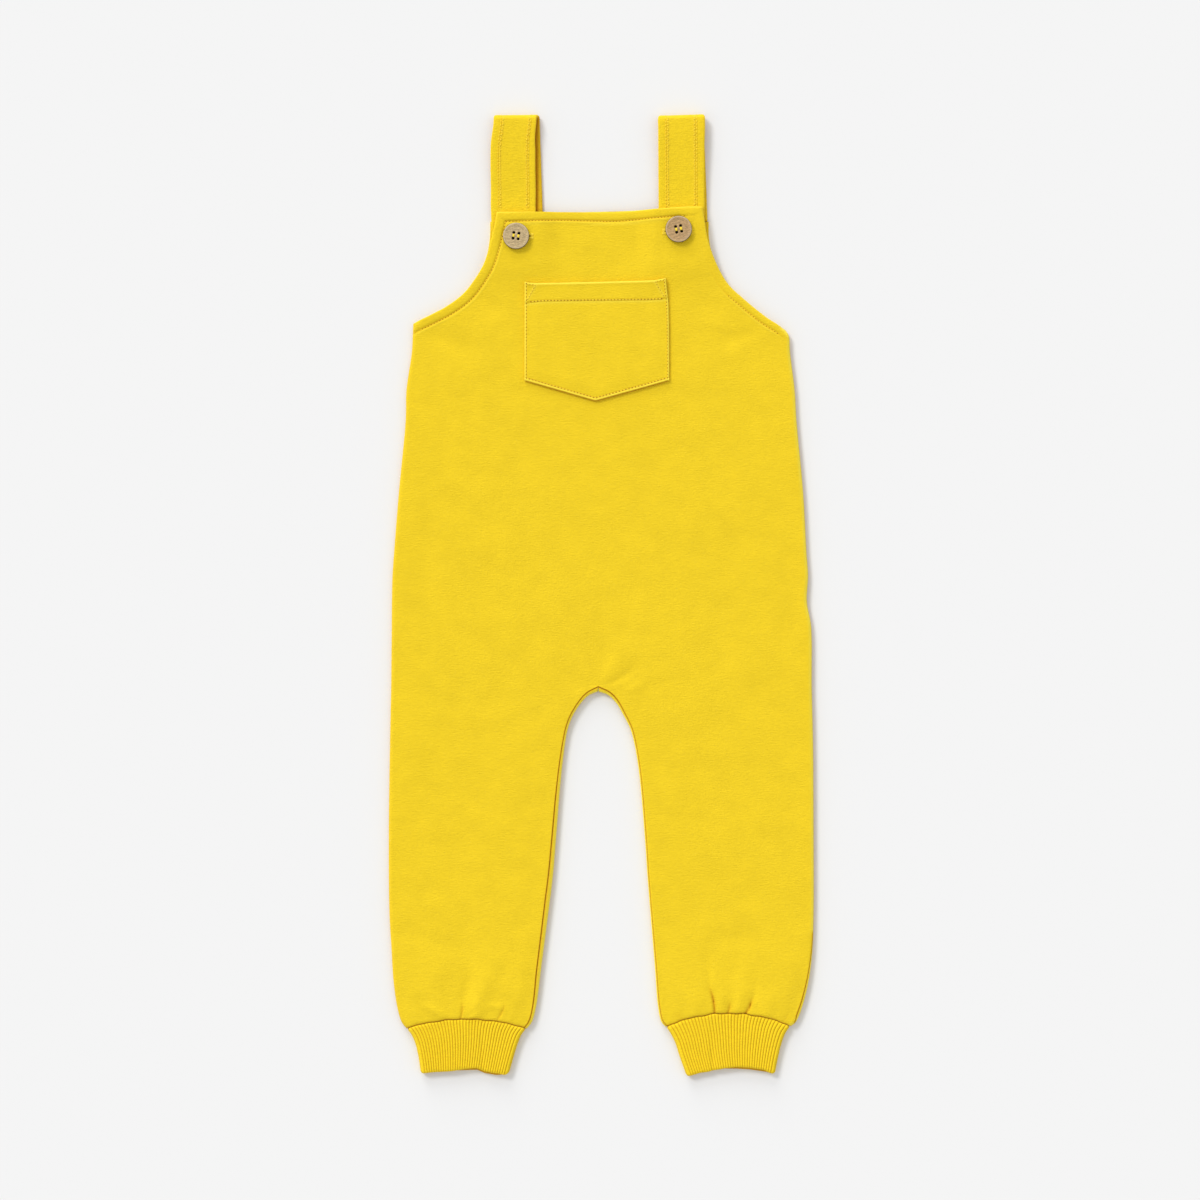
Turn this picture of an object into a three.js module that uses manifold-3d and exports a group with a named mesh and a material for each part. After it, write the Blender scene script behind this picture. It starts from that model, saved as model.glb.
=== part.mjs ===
// A toddler's dungarees in yellow sweatshirt fleece, laid flat on a table, front up.
//
// Units are millimetres. +X is the right of someone looking down at the garment, +Y runs from the
// ankle cuffs to the shoulder straps and +Z is up from the table. The origin is on the table, at the
// middle of the garment's length and width.
//
// A wall of cloth is a sheet of sites. Each site has a point on the wall's upper skin and one on its
// lower skin, and the two skins are closed along every free edge. The front and the back lie on each
// other and meet at the side seams and inseams, where the cloth rolls round in half a circle.

import * as THREE from "three";
import { mergeVertices } from "three/addons/utils/BufferGeometryUtils.js";
import Module from "manifold-3d";

// Cloth and sewing
const CLOTH = 1.6; // one layer of fleece
const HEM = 2.3; // a turned and topstitched edge
const HEM_WIDTH = 6.2; // from a free edge to its topstitching
const STITCH_DITCH = 0.6; // how deep a line of topstitching pulls the cloth in
const DITCH_HALF = 0.8;
const SEAM_GAP = 0.3; // between two pieces at a seam
const FREE_EDGE_ROUND = 0.7; // how far a free edge rounds down

// Heights of the laid garment
const EDGE_HEIGHT = 5.0; // top of a sewn side above the table
const EDGE_RADIUS = EDGE_HEIGHT / 2;
const BIB_LIFT = 2.4; // how much the bib rides up over the ends of the straps
const LEG_PUFF = 0.9; // fullness of a leg above its cuff
const LEG_END_DROP = 0.9; // how far the leg dips into the cuff seam

// Outline of the front, as points along each edge
const BIB_TOP = [
  { x: -71.0, y: 260.9 }, { x: -48.8, y: 261.5 }, { x: -28.4, y: 261.8 }, { x: -9.0, y: 261.4 },
  { x: 7.0, y: 261.1 }, { x: 16.0, y: 261.5 }, { x: 32.8, y: 263.0 }, { x: 53.2, y: 264.3 },
  { x: 68.6, y: 264.6 },
];
const ARMHOLE_LEFT = [
  { x: -71.0, y: 260.9 }, { x: -72.3, y: 253.3 }, { x: -74.4, y: 243.6 }, { x: -79.6, y: 226.3 },
  { x: -85.2, y: 216.6 }, { x: -93.8, y: 205.6 }, { x: -105.6, y: 196.7 }, { x: -116.0, y: 191.2 },
  { x: -127.9, y: 185.4 },
];
const ARMHOLE_RIGHT = [
  { x: 68.6, y: 264.6 }, { x: 70.2, y: 255.4 }, { x: 72.6, y: 241.6 }, { x: 79.9, y: 222.6 },
  { x: 86.6, y: 211.8 }, { x: 97.9, y: 201.2 }, { x: 111.6, y: 190.1 }, { x: 120.2, y: 184.5 },
  { x: 126.3, y: 180.2 },
];
// Half widths of the trunk and of the legs' outer sides, section by section down the garment
const SIDES = [
  { y: 166, left: -128.9, right: 128.5 }, { y: 140, left: -132.6, right: 131.7 },
  { y: 120, left: -133.1, right: 132.9 }, { y: 70, left: -137.8, right: 137.5 },
  { y: 30, left: -141.0, right: 139.7 }, { y: 14, left: -142.1, right: 140.8 },
  { y: -4, left: -142.5, right: 140.0 }, { y: -20, left: -142.6, right: 142.8 },
  { y: -62, left: -143.0, right: 143.3 },
];
const LEG_SIDES = [
  { y: -62, left: -143.0, right: 143.3 }, { y: -100, left: -143.8, right: 144.2 },
  { y: -160, left: -144.6, right: 144.6 }, { y: -215, left: -144.2, right: 144.6 },
  { y: -240, left: -142.8, right: 143.8 }, { y: -262, left: -141.4, right: 141.2 },
  { y: -280, left: -138.8, right: 136.7 }, { y: -290, left: -135.8, right: 132.4 },
];
const INSEAMS = [
  { y: -64.9, left: -2.0, right: -2.0 }, { y: -67.8, left: -8.8, right: 5.2 },
  { y: -73.4, left: -14.2, right: 10.6 }, { y: -81, left: -19.1, right: 15.0 },
  { y: -90, left: -22.6, right: 19.6 }, { y: -100, left: -24.5, right: 22.4 },
  { y: -120, left: -27.0, right: 25.7 }, { y: -165, left: -30.7, right: 29.7 },
  { y: -190, left: -32.8, right: 31.4 }, { y: -220, left: -36.5, right: 33.8 },
  { y: -250, left: -40.4, right: 36.3 }, { y: -280, left: -44.4, right: 38.7 },
  { y: -289.8, left: -47.2, right: 40.9 },
];
// Where each leg ends at its cuff: the two corners, and how far the seam arches up between them
const LEG_ENDS = {
  left: { outer: { x: -132.6, y: -294.3 }, inner: { x: -50.6, y: -294.4 }, bow: 6.8 },
  right: { outer: { x: 129.0, y: -292.8 }, inner: { x: 43.8, y: -293.2 }, bow: 9.4 },
};
// The back's own upper edge, which shows as a sliver beside the bib
const BACK_TOP = 254.9;
const BACK_ARMHOLE = [
  { y: BACK_TOP, left: -76.0, right: 73.2 }, { y: 245, left: -76.0, right: 73.3 },
  { y: 235, left: -77.2, right: 75.0 },
];

// How far round the rolled edge each seam lies: a right angle is outermost, a half turn is on top
const SEAM_TURNS = {
  side: 90,
  crotch: 158,
  leftInseam: 150,
  rightInseam: 118,
  rightAnkle: 128, // the right side seam rolls forward near the cuff
};

// Folds gathered into the cuff seams: from the seam (x, y) to the fold's far end
const GATHERS = [
  { x: -95.8, y: -287.4, toX: -93.6, toY: -268, depth: 1.3, width: 3.6 },
  { x: -71.3, y: -287.2, toX: -62.5, toY: -274, depth: 1.2, width: 3.4 },
  { x: -112.0, y: -289.6, toX: -121.0, toY: -277, depth: 0.6, width: 4.2 },
  { x: 76.2, y: -284.0, toX: 71.6, toY: -262, depth: 1.4, width: 3.6 },
  { x: 86.0, y: -283.4, toX: 88.4, toY: -267, depth: 1.0, width: 3.2 },
  { x: 98.6, y: -284.6, toX: 106.4, toY: -268, depth: 1.4, width: 3.6 },
  { x: 60.0, y: -287.6, toX: 52.0, toY: -276, depth: 0.5, width: 4.0 },
];
// Where the front's columns run into the cuff seam, so that each fold has a floor and two banks
const ANKLE_COLUMNS = {
  left: [-121, -116.6, -112, -107, -100.4, -95.8, -91.2, -84, -76.2, -71.3, -66.2, -60],
  right: [52.5, 57, 62.5, 71, 76.2, 81.2, 86, 91.4, 98.6, 105, 112, 120],
};
// Shallow troughs where the laid cloth settles on the back
const TROUGHS = [
  { x: -2.0, y: -52, toX: 4.0, toY: 12, depth: 0.5, width: 12 },
  { x: 10.0, y: -66, toX: 36.0, toY: -46, depth: 0.6, width: 6 },
  { x: -104, y: 176, toX: -62, toY: 158, depth: 0.5, width: 10 },
  { x: 100, y: 168, toX: 60, toY: 160, depth: 0.5, width: 10 },
  { x: -92, y: -250, toX: -84, toY: -226, depth: 0.6, width: 11 },
  { x: 78, y: -236, toX: 112, toY: -228, depth: 0.4, width: 8 },
  { x: -120, y: 60, toX: -124, toY: -30, depth: 0.4, width: 9 },
];

// Straps: middle line of the lower and upper layers, by distance up the garment
const STRAP_WIDTH = 31.2;
const STRAP_THICK = 2.2;
const STRAP_HEM = 5.2; // from a strap's edge to its stitching
const STRAP_TOP = 327.2;
const STRAP_END = 229; // the buttoned end, hidden under the bib
const STRAP_FOLD_HEIGHT = 7.0; // top of the fold above the table
const STRAPS = {
  left: { backX: -56.2, foldX: -58.7, bibX: -59.9, endX: -58.2, tilt: 0.008 },
  right: { backX: 56.2, foldX: 54.2, bibX: 54.6, endX: 53.4, tilt: 0.03 },
};

// Patch pocket, corner by corner
const POCKET = {
  topLeft: { x: -51.9, y: 213.7 },
  topRight: { x: 43.5, y: 216.2 },
  bottomRight: { x: 46.2, y: 146.6 },
  tip: { x: -3.9, y: 132.9 },
  bottomLeft: { x: -51.9, y: 146.9 },
  topSag: 1.9, // the opening sags between its corners
  hem: 14.4, // depth of the turned opening
};

// Ribbed cuffs: sides from the seam to the foot opening, and the opening's own curve
const CUFF_WALL = 2.1; // rib knit, folded double
const CUFF_HEIGHT = 4.9;
const RIB_HEIGHT = 0.6;
const RIB_COUNT = 34; // across the face that shows
const FOOT_SHORT = 0.8; // how far the upper layer stops above the lower one at the foot
const CUFFS = {
  left: {
    start: { left: -131.6, right: -51.8 },
    sides: [
      { y: -298.5, left: -128.5, right: -55.0 }, { y: -304, left: -126.0, right: -57.3 },
      { y: -313, left: -123.8, right: -60.2 }, { y: -324.8, left: -122.1, right: -63.6 },
    ],
    foot: [0, 0.8, 1.3, 1.6, 2.0, 0.9, -1.0, -0.6],
  },
  right: {
    start: { left: 44.9, right: 127.9 },
    sides: [
      { y: -297.5, left: 47.8, right: 124.6 }, { y: -304, left: 51.1, right: 122.2 },
      { y: -313, left: 54.1, right: 119.9 }, { y: -325.6, left: 58.9, right: 117.5 },
    ],
    foot: [-1.2, 1.4, 3.1, 3.8, 3.8, 3.3, 2.1, 0.6],
  },
};

// Buttons
const BUTTON = { radius: 9, thick: 2.8, rim: 1.4, dish: 0.5, hole: 0.85, pitch: 1.75, sides: 24 };
const BUTTONS = {
  left: { x: -57.8, y: 244.3, turn: -8 },
  right: { x: 52.5, y: 248.9, turn: 11 },
};

const BUTTONHOLE = { length: 20, width: 0.8 };
const BUTTONHOLES = [{ x: -56.4, y: 244.4 }, { x: 51.9, y: 247.4 }];

// Spacing of the sites, as offsets from an edge and as shares of a length
const SKIN_OFFSETS = [HEM_WIDTH - DITCH_HALF, HEM_WIDTH, HEM_WIDTH + DITCH_HALF];
const FREE_OFFSETS = [0, 0.6, 2.5];
const ROLL_SHARES = [0, 0.5, 1];
const FRONT_COLUMNS = 12;
const BACK_COLUMNS = 6;
const FRONT_ARMHOLE_ROWS = [0.13, 0.24, 0.36, 0.48, 0.6, 0.72, 0.83, 0.93];
const BACK_ARMHOLE_ROWS = [0.1, 0.28, 0.46, 0.64, 0.82, 0.93];
// The front and the back share the rows that meet at the seams
const TRUNK_ROWS = [0, 0.06, 0.14, 0.24, 0.35, 0.47, 0.6, 0.72, 0.82, 0.91, 1];
const LEG_ROWS = [0, 0.022, 0.05, 0.085, 0.125, 0.17, 0.24, 0.34, 0.46, 0.58, 0.69, 0.78, 0.845,
  0.89, 0.92, 0.945, 0.965, 0.984, 1];

const FLEECE = 0xf2cf2a;
const RIB_KNIT = 0xecc728;
const COCONUT = 0xc4ad87;

const RADIANS = Math.PI / 180;
const mix = (a, b, t) => a + (b - a) * t;
const clamp = (value) => Math.min(1, Math.max(0, value));
const ease = (from, to, value) => {
  const t = clamp((value - from) / (to - from));
  return t * t * (3 - 2 * t);
};
const bell = (value, width) => Math.exp(-((value / width) ** 2));

// A smooth line through the points of a table, asked by its share of the whole length.
function smoothLine(points) {
  const curve = new THREE.CatmullRomCurve3(points.map((p) => new THREE.Vector3(p.x, p.y, 0)));
  curve.curveType = "centripetal";
  return {
    at: (share) => curve.getPointAt(clamp(share)),
    length: curve.getLength(),
    // Unit vector out of the cloth, for cloth on the right (turn = 1) or the left (-1) of the line.
    outward: (share, turn) => {
      const t = curve.getTangentAt(clamp(share));
      return new THREE.Vector3(-t.y * turn, t.x * turn, 0);
    },
  };
}

const column = (table, side) => table.map((row) => ({ x: row[side], y: row.y }));

// The edges of one half of the garment, each running down from the bib to the cuff.
function edgesOf(side) {
  const isLeft = side === "left";
  const armhole = isLeft ? ARMHOLE_LEFT : ARMHOLE_RIGHT;
  const end = LEG_ENDS[side];
  const backArmhole = [...column(BACK_ARMHOLE, side), ...armhole.slice(isLeft ? 3 : 3)];
  return {
    turn: isLeft ? -1 : 1,
    armhole: smoothLine(armhole),
    backArmhole: smoothLine(backArmhole),
    trunk: smoothLine([armhole[armhole.length - 1], ...column(SIDES, side)]),
    legOuter: smoothLine([...column(LEG_SIDES, side), end.outer]),
    legInner: smoothLine([...column(INSEAMS, side), end.inner]),
    end,
  };
}
const EDGES = { left: edgesOf("left"), right: edgesOf("right") };

// A row's end at a garment edge: the point, the way in, and how the edge is finished there.
function edgeFrame(point, outward, sewn, seamTurn) {
  return { point, inward: outward.clone().negate(), sewn, seamTurn };
}

// The way in at a corner, so that both edges keep their distance.
function mitre(a, b) {
  return a.clone().add(b).divideScalar(1 + a.dot(b));
}

// Near the top the way in swings round to run along the top edge.
function armholeFrames(shares, side, isBack) {
  const edges = EDGES[side];
  const line = isBack ? edges.backArmhole : edges.armhole;
  const alongTop = new THREE.Vector3(edges.turn, 0, 0);
  return shares.map((share) => {
    const outward = line.outward(share, edges.turn).lerp(alongTop, 1 - ease(0.06, 0.2, share));
    return edgeFrame(line.at(share), outward, 0, SEAM_TURNS.side);
  });
}

function trunkFrames(shares, side, isBack) {
  const edges = EDGES[side];
  const armhole = isBack ? edges.backArmhole : edges.armhole;
  return shares.map((share) => {
    let outward = edges.trunk.outward(share, edges.turn);
    if (share === 0) outward = mitre(outward, armhole.outward(1, edges.turn));
    return edgeFrame(edges.trunk.at(share), outward, 1, SEAM_TURNS.side);
  });
}

// Both ends of each leg row. Towards the cuff the way in turns along the row.
function legFrames(shares, side) {
  const edges = EDGES[side];
  return shares.map((share) => {
    const outerPoint = edges.legOuter.at(share);
    const innerPoint = edges.legInner.at(share);
    const along = innerPoint.clone().sub(outerPoint).normalize();
    const turned = ease(0.955, 1, share);
    const outerOut = edges.legOuter.outward(share, edges.turn).lerp(along.clone().negate(), turned);
    const innerOut = share === 0
      ? new THREE.Vector3(0, -1, 0)
      : edges.legInner.outward(share, -edges.turn).lerp(along, turned);
    const isLeft = side === "left";
    const inseam = isLeft ? SEAM_TURNS.leftInseam : SEAM_TURNS.rightInseam;
    const innerTurn = mix(SEAM_TURNS.crotch, inseam, ease(0.03, 0.2, share));
    const ankle = isLeft ? 0 : ease(0.6, 0.92, share) * (1 - ease(0.96, 1, share));
    const outerTurn = mix(SEAM_TURNS.side, SEAM_TURNS.rightAnkle, ankle);
    return {
      share,
      outer: edgeFrame(outerPoint, outerOut, 1, outerTurn),
      inner: edgeFrame(innerPoint, innerOut, 1, innerTurn),
    };
  });
}

// Dips of the front's outer skin along a table of folds.
function foldDip(folds, x, y) {
  let dip = 0;
  for (const fold of folds) {
    const dx = fold.toX - fold.x;
    const dy = fold.toY - fold.y;
    const length = Math.hypot(dx, dy);
    const along = ((x - fold.x) * dx + (y - fold.y) * dy) / length;
    const across = ((x - fold.x) * dy - (y - fold.y) * dx) / length;
    const reach = (1 - ease(0.2 * length, length, along)) * ease(-0.35 * length, 0, along);
    dip += fold.depth * reach * bell(across, fold.width);
  }
  return dip;
}

// How far the bib is lifted by the strap ends below it.
function bibLift(x, y) {
  const half = STRAP_WIDTH / 2;
  const over = (middle) => 1 - ease(half + 1, half + 17, Math.abs(x - middle));
  const spread = Math.max(over(STRAPS.left.bibX), over(STRAPS.right.bibX));
  return spread * ease(STRAP_END - 26, STRAP_END - 2, y) * mix(1.8, BIB_LIFT, ease(STRAP_END, 252, y));
}

// Height of the front's outer skin, at a distance in from the nearest sewn edge.
function frontHeight(x, y, inset) {
  const settle = ease(EDGE_RADIUS, 14, inset);
  const nearCuff = ease(-225, -268, y);
  const shape = LEG_PUFF * nearCuff - foldDip(TROUGHS, x, y) - foldDip(GATHERS, x, y);
  return EDGE_HEIGHT + bibLift(x, y) + settle * shape;
}

// A wall of cloth: paired points on its two skins, joined in a grid.
class Wall {
  constructor() {
    this.upper = [];
    this.lower = [];
    this.faces = [];
  }

  site(upper, lower) {
    this.upper.push(upper);
    this.lower.push(lower);
    return this.upper.length - 1;
  }

  // Rows of sites, each row the same way round; facesUp is for rows read left to right, downwards.
  grid(rows, facesUp = true, closed = false) {
    for (let r = 0; r + 1 < rows.length; r++) {
      const width = closed ? rows[r].length : rows[r].length - 1;
      for (let c = 0; c < width; c++) {
        const next = (c + 1) % rows[r].length;
        const quad = [rows[r][c], rows[r + 1][c], rows[r + 1][next], rows[r][next]];
        const corners = quad.filter((site, k) => site !== quad[(k + 3) % 4]);
        if (!facesUp) corners.reverse();
        for (let k = 1; k + 1 < corners.length; k++)
          this.faces.push([corners[0], corners[k], corners[k + 1]]);
      }
    }
  }

  geometry() {
    const count = this.upper.length;
    const index = [];
    const open = new Map();
    for (const [a, b, c] of this.faces) {
      index.push(a, b, c, c + count, b + count, a + count);
      for (const [p, q] of [[a, b], [b, c], [c, a]]) {
        if (!open.delete(`${q}_${p}`)) open.set(`${p}_${q}`, [p, q]);
      }
    }
    for (const [p, q] of open.values()) index.push(q, p, p + count, q, p + count, q + count);
    const positions = [...this.upper, ...this.lower].flatMap((p) => [p.x, p.y, p.z]);
    const made = new THREE.BufferGeometry();
    made.setAttribute("position", new THREE.Float32BufferAttribute(positions, 3));
    made.setIndex(index);
    made.computeVertexNormals();
    return made;
  }
}

// The half circle that a sewn edge rolls round: a skin's offset in and height, by its turn.
function rolled(turn, radius) {
  return {
    offset: EDGE_RADIUS - radius * Math.sin(turn * RADIANS),
    z: EDGE_RADIUS - radius * Math.cos(turn * RADIANS),
  };
}

const GAP_TURN = (SEAM_GAP / 2 / EDGE_RADIUS) / RADIANS;

// Sites of the front across the first few millimetres from an edge. rim is the distance to the
// bib's top edge, so that the topstitching turns the corner there.
function frontEdgeSites(wall, frame, rim) {
  const place = (offset) => frame.point.clone().addScaledVector(frame.inward, offset);
  const rolls = ROLL_SHARES.map((share, k) => {
    const turn = mix(frame.seamTurn + GAP_TURN, 180, share);
    const skin = rolled(turn, EDGE_RADIUS);
    const lining = rolled(turn, EDGE_RADIUS - CLOTH);
    const offset = mix(FREE_OFFSETS[k], skin.offset, frame.sewn);
    const liningOffset = mix(FREE_OFFSETS[k], lining.offset, frame.sewn);
    const upper = place(offset);
    const lower = place(liningOffset);
    const free = freeEdge(upper, Math.min(FREE_OFFSETS[k], rim), 0);
    upper.z = mix(free.upper, skin.z, frame.sewn);
    lower.z = mix(free.lower, lining.z, frame.sewn);
    return wall.site(upper, lower);
  });
  const skins = SKIN_OFFSETS.map((offset) => frontSkinSite(wall, place(offset), offset, rim, frame.sewn));
  return [...rolls, ...skins];
}

// Heights of the two skins beside a free, hemmed edge.
function freeEdge(point, offset, sewn) {
  const top = frontHeight(point.x, point.y, 14);
  const round = FREE_EDGE_ROUND * (1 - ease(0, 1.6, offset)) * (1 - sewn);
  const ditch = STITCH_DITCH * clamp(1 - Math.abs(offset - HEM_WIDTH) / DITCH_HALF) * (1 - sewn);
  const hemmed = (1 - ease(HEM_WIDTH - DITCH_HALF, HEM_WIDTH + DITCH_HALF, offset)) * (1 - sewn);
  return {
    upper: top - round - ditch,
    lower: top - mix(CLOTH, HEM, hemmed) + round - ditch * (1 - hemmed),
  };
}

function frontSkinSite(wall, point, offset, rim, sewn) {
  const inset = mix(14, offset, sewn);
  const free = freeEdge(point, Math.min(offset, rim), sewn * (rim > HEM_WIDTH + 1 ? 1 : 0));
  const settled = frontHeight(point.x, point.y, inset) - frontHeight(point.x, point.y, 14);
  const upper = point.clone().setZ(free.upper + settled * sewn);
  const lower = point.clone().setZ(free.lower + settled * sewn);
  return wall.site(upper, lower);
}

const evenShares = (count) => Array.from({ length: count }, (_, k) => (k + 1) / (count + 1));

function archAt(x, from, to, bow) {
  const share = clamp((x - from.x) / (to.x - from.x));
  return bow * (4 * share * (1 - share)) ** 0.9;
}

// How much of the cuff seam's arch a leg row takes.
const archShare = (share) => ease(0.7, 1, share) ** 1.5;

// The bib's top edge is a curve, so rows near it follow its rise and fall.
const bibLine = smoothLine(BIB_TOP);
function bibBend(x, depth) {
  const share = clamp((x - BIB_TOP[0].x) / (BIB_TOP[BIB_TOP.length - 1].x - BIB_TOP[0].x));
  const chord = mix(BIB_TOP[0].y, BIB_TOP[BIB_TOP.length - 1].y, share);
  return (bibLine.at(share).y - chord) * (1 - ease(0, 60, depth));
}

// Middle of a trunk row: it moves from the bib's middle to the top of the crotch.
function trunkMiddle(left, right, progress) {
  const crotch = INSEAMS[0];
  const y = (left.y + right.y) / 2;
  const target = crotch.y + EDGE_RADIUS;
  return new THREE.Vector3(
    mix((left.x + right.x) / 2, crotch.left, progress), mix(y, target, progress ** 6), 0);
}

function frontPanel() {
  const wall = new Wall();
  const rimOffsets = [...FREE_OFFSETS, ...SKIN_OFFSETS];
  const rows = { left: [], right: [] };
  const shares = evenShares(FRONT_COLUMNS);
  const rowFrames = (side) => {
    const line = EDGES[side].armhole;
    const rims = rimOffsets.map((offset) => offset / line.length);
    const upper = armholeFrames([...rims, ...FRONT_ARMHOLE_ROWS], side);
    return [...upper, ...trunkFrames(TRUNK_ROWS, side)];
  };
  const frames = { left: rowFrames("left"), right: rowFrames("right") };
  const lastRow = frames.left.length - 1;
  const bendDepth = (r) => EDGES.left.armhole.at(0).y - frames.left[r].point.y;

  for (let r = 0; r <= lastRow; r++) {
    const rim = r < rimOffsets.length ? rimOffsets[r] : 99;
    const progress = ease(rimOffsets.length, lastRow, r);
    const inner = SKIN_OFFSETS[SKIN_OFFSETS.length - 1];
    const reach = (side) => frames[side][r].point.clone()
      .addScaledVector(frames[side][r].inward, inner);
    const ends = { left: reach("left"), right: reach("right") };
    const middle = trunkMiddle(ends.left, ends.right, progress);
    middle.y += bibBend(middle.x, bendDepth(r));
    const centre = frontSkinSite(wall, middle, 99, rim, 1 * (rim > HEM_WIDTH + 1));
    for (const side of ["left", "right"]) {
      const edge = frontEdgeSites(wall, frames[side][r], rim);
      const across = shares.map((share) => {
        const point = ends[side].clone().lerp(middle, share);
        point.y += bibBend(point.x, bendDepth(r)) * (1 - share);
        return frontSkinSite(wall, point, 99, rim, 1 * (rim > HEM_WIDTH + 1));
      });
      rows[side].push([...edge, ...across, centre]);
    }
  }

  // The front's edge at the very top of the crotch, shared by both legs.
  const apex = legFrames([0], "left")[0].inner;
  const apexSites = innerRoll(wall, apex).slice(1);
  for (const side of ["left", "right"]) {
    const facesUp = side === "left";
    wall.grid(rows[side], facesUp);
    const legRows = [[...rows[side][lastRow], ...apexSites]];
    for (const frame of legFrames(LEG_ROWS.slice(1), side))
      legRows.push(frontLegRow(wall, frame, side));
    wall.grid(legRows, facesUp);
  }
  return wall.geometry();
}

// The front's rolled edge at an inseam, from its top round to the seam.
function innerRoll(wall, frame) {
  return [...ROLL_SHARES].reverse().map((share) => {
    const turn = mix(frame.seamTurn + GAP_TURN, 180, share);
    const skin = rolled(turn, EDGE_RADIUS);
    const lining = rolled(turn, EDGE_RADIUS - CLOTH);
    const upper = frame.point.clone().addScaledVector(frame.inward, skin.offset).setZ(skin.z);
    const lower = frame.point.clone().addScaledVector(frame.inward, lining.offset).setZ(lining.z);
    return wall.site(upper, lower);
  });
}

// Shares across a leg row: even higher up, gathered round the folds at the cuff.
function legShares(side, share, from, to) {
  const gathered = ease(0.72, 0.92, share);
  const last = FRONT_COLUMNS - 1;
  return evenShares(FRONT_COLUMNS).map((even, k) => {
    const x = ANKLE_COLUMNS[side][side === "left" ? k : last - k];
    return mix(even, (x - from.x) / (to.x - from.x), gathered);
  });
}

function frontLegRow(wall, frame, side) {
  const outer = frame.outer.point.clone()
    .addScaledVector(frame.outer.inward, SKIN_OFFSETS[SKIN_OFFSETS.length - 1]);
  const inner = frame.inner.point.clone().addScaledVector(frame.inner.inward, EDGE_RADIUS);
  const before = wall.upper.length;
  const edge = frontEdgeSites(wall, frame.outer, 99);
  const across = legShares(side, frame.share, outer, inner).map((share) => {
    const point = outer.clone().lerp(inner, share);
    const inset = Math.min(
      outer.distanceTo(point) + SKIN_OFFSETS[2], inner.distanceTo(point) + EDGE_RADIUS);
    const top = frontHeight(point.x, point.y, inset);
    return wall.site(point.clone().setZ(top), point.clone().setZ(top - CLOTH));
  });
  const roll = innerRoll(wall, frame.inner);
  archRow(wall, before, frame, side);
  return [...edge, ...across, ...roll];
}

// Moves a leg row's sites, from the given one on, on to the arch and the dip of the cuff seam.
function archRow(wall, before, frame, side) {
  const bow = LEG_ENDS[side].bow * archShare(frame.share);
  const dip = LEG_END_DROP * ease(0.975, 1, frame.share);
  for (const point of [...wall.upper.slice(before), ...wall.lower.slice(before)]) {
    point.y += archAt(point.x, frame.outer.point, frame.inner.point, bow);
    point.z -= dip * clamp((point.z - EDGE_RADIUS) / EDGE_RADIUS);
  }
}

// Sites of the back across a sewn or free edge: the outer skin lies on the table.
function backEdgeSites(wall, frame) {
  const place = (offset, z) => frame.point.clone().addScaledVector(frame.inward, offset).setZ(z);
  return ROLL_SHARES.map((share, k) => {
    const turn = mix(frame.seamTurn - GAP_TURN, 0, share);
    const skin = rolled(turn, EDGE_RADIUS);
    const lining = rolled(turn, EDGE_RADIUS - CLOTH);
    const round = FREE_EDGE_ROUND * 0.7 * (1 - ease(0, 1.6, FREE_OFFSETS[k]));
    const upper = place(
      mix(FREE_OFFSETS[k], lining.offset, frame.sewn), mix(CLOTH - round, lining.z, frame.sewn));
    const lower = place(
      mix(FREE_OFFSETS[k], skin.offset, frame.sewn), mix(round, skin.z, frame.sewn));
    return wall.site(upper, lower);
  });
}

function backPanel(side) {
  const wall = new Wall();
  const frames = (which) => [
    ...armholeFrames([0, 0.6 / EDGES[which].backArmhole.length, ...BACK_ARMHOLE_ROWS], which, true),
    ...trunkFrames(TRUNK_ROWS, which, true),
  ];
  const own = frames(side);
  const other = frames(side === "left" ? "right" : "left");
  const lastRow = own.length - 1;
  const shares = evenShares(BACK_COLUMNS);
  const towards = Math.sign(EDGES[side].turn);
  const flat = (point, round = 0) =>
    wall.site(point.clone().setZ(CLOTH - round), point.clone().setZ(round));
  const rows = own.map((frame, r) => {
    const start = frame.point.clone().addScaledVector(frame.inward, EDGE_RADIUS);
    const far = other[r].point.clone().addScaledVector(other[r].inward, EDGE_RADIUS);
    const middle = trunkMiddle(start, far, ease(2, lastRow, r));
    middle.x += (towards * SEAM_GAP) / 2;
    const round = r === 0 ? FREE_EDGE_ROUND * 0.7 : 0;
    const across = shares.map((share) => flat(start.clone().lerp(middle, share), round));
    return [...backEdgeSites(wall, frame), ...across, flat(middle, round)];
  });
  const facesUp = side === "left";
  wall.grid(rows, facesUp);

  const legs = legFrames(LEG_ROWS, side);
  const apex = { ...legs[0].inner, point: legs[0].inner.point.clone() };
  apex.point.x += (towards * SEAM_GAP) / 2;
  const legRows = [[...rows[lastRow], ...backEdgeSites(wall, apex).reverse().slice(1)]];
  for (const frame of legs.slice(1)) {
    const before = wall.upper.length;
    const outer = frame.outer.point.clone().addScaledVector(frame.outer.inward, EDGE_RADIUS);
    const inner = frame.inner.point.clone().addScaledVector(frame.inner.inward, EDGE_RADIUS);
    const edge = backEdgeSites(wall, frame.outer);
    const across = shares.map((share) => flat(outer.clone().lerp(inner, share)));
    const roll = backEdgeSites(wall, frame.inner).reverse();
    archRow(wall, before, frame, side);
    legRows.push([...edge, ...across, ...roll]);
  }
  wall.grid(legRows, facesUp);
  return wall.geometry();
}

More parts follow.
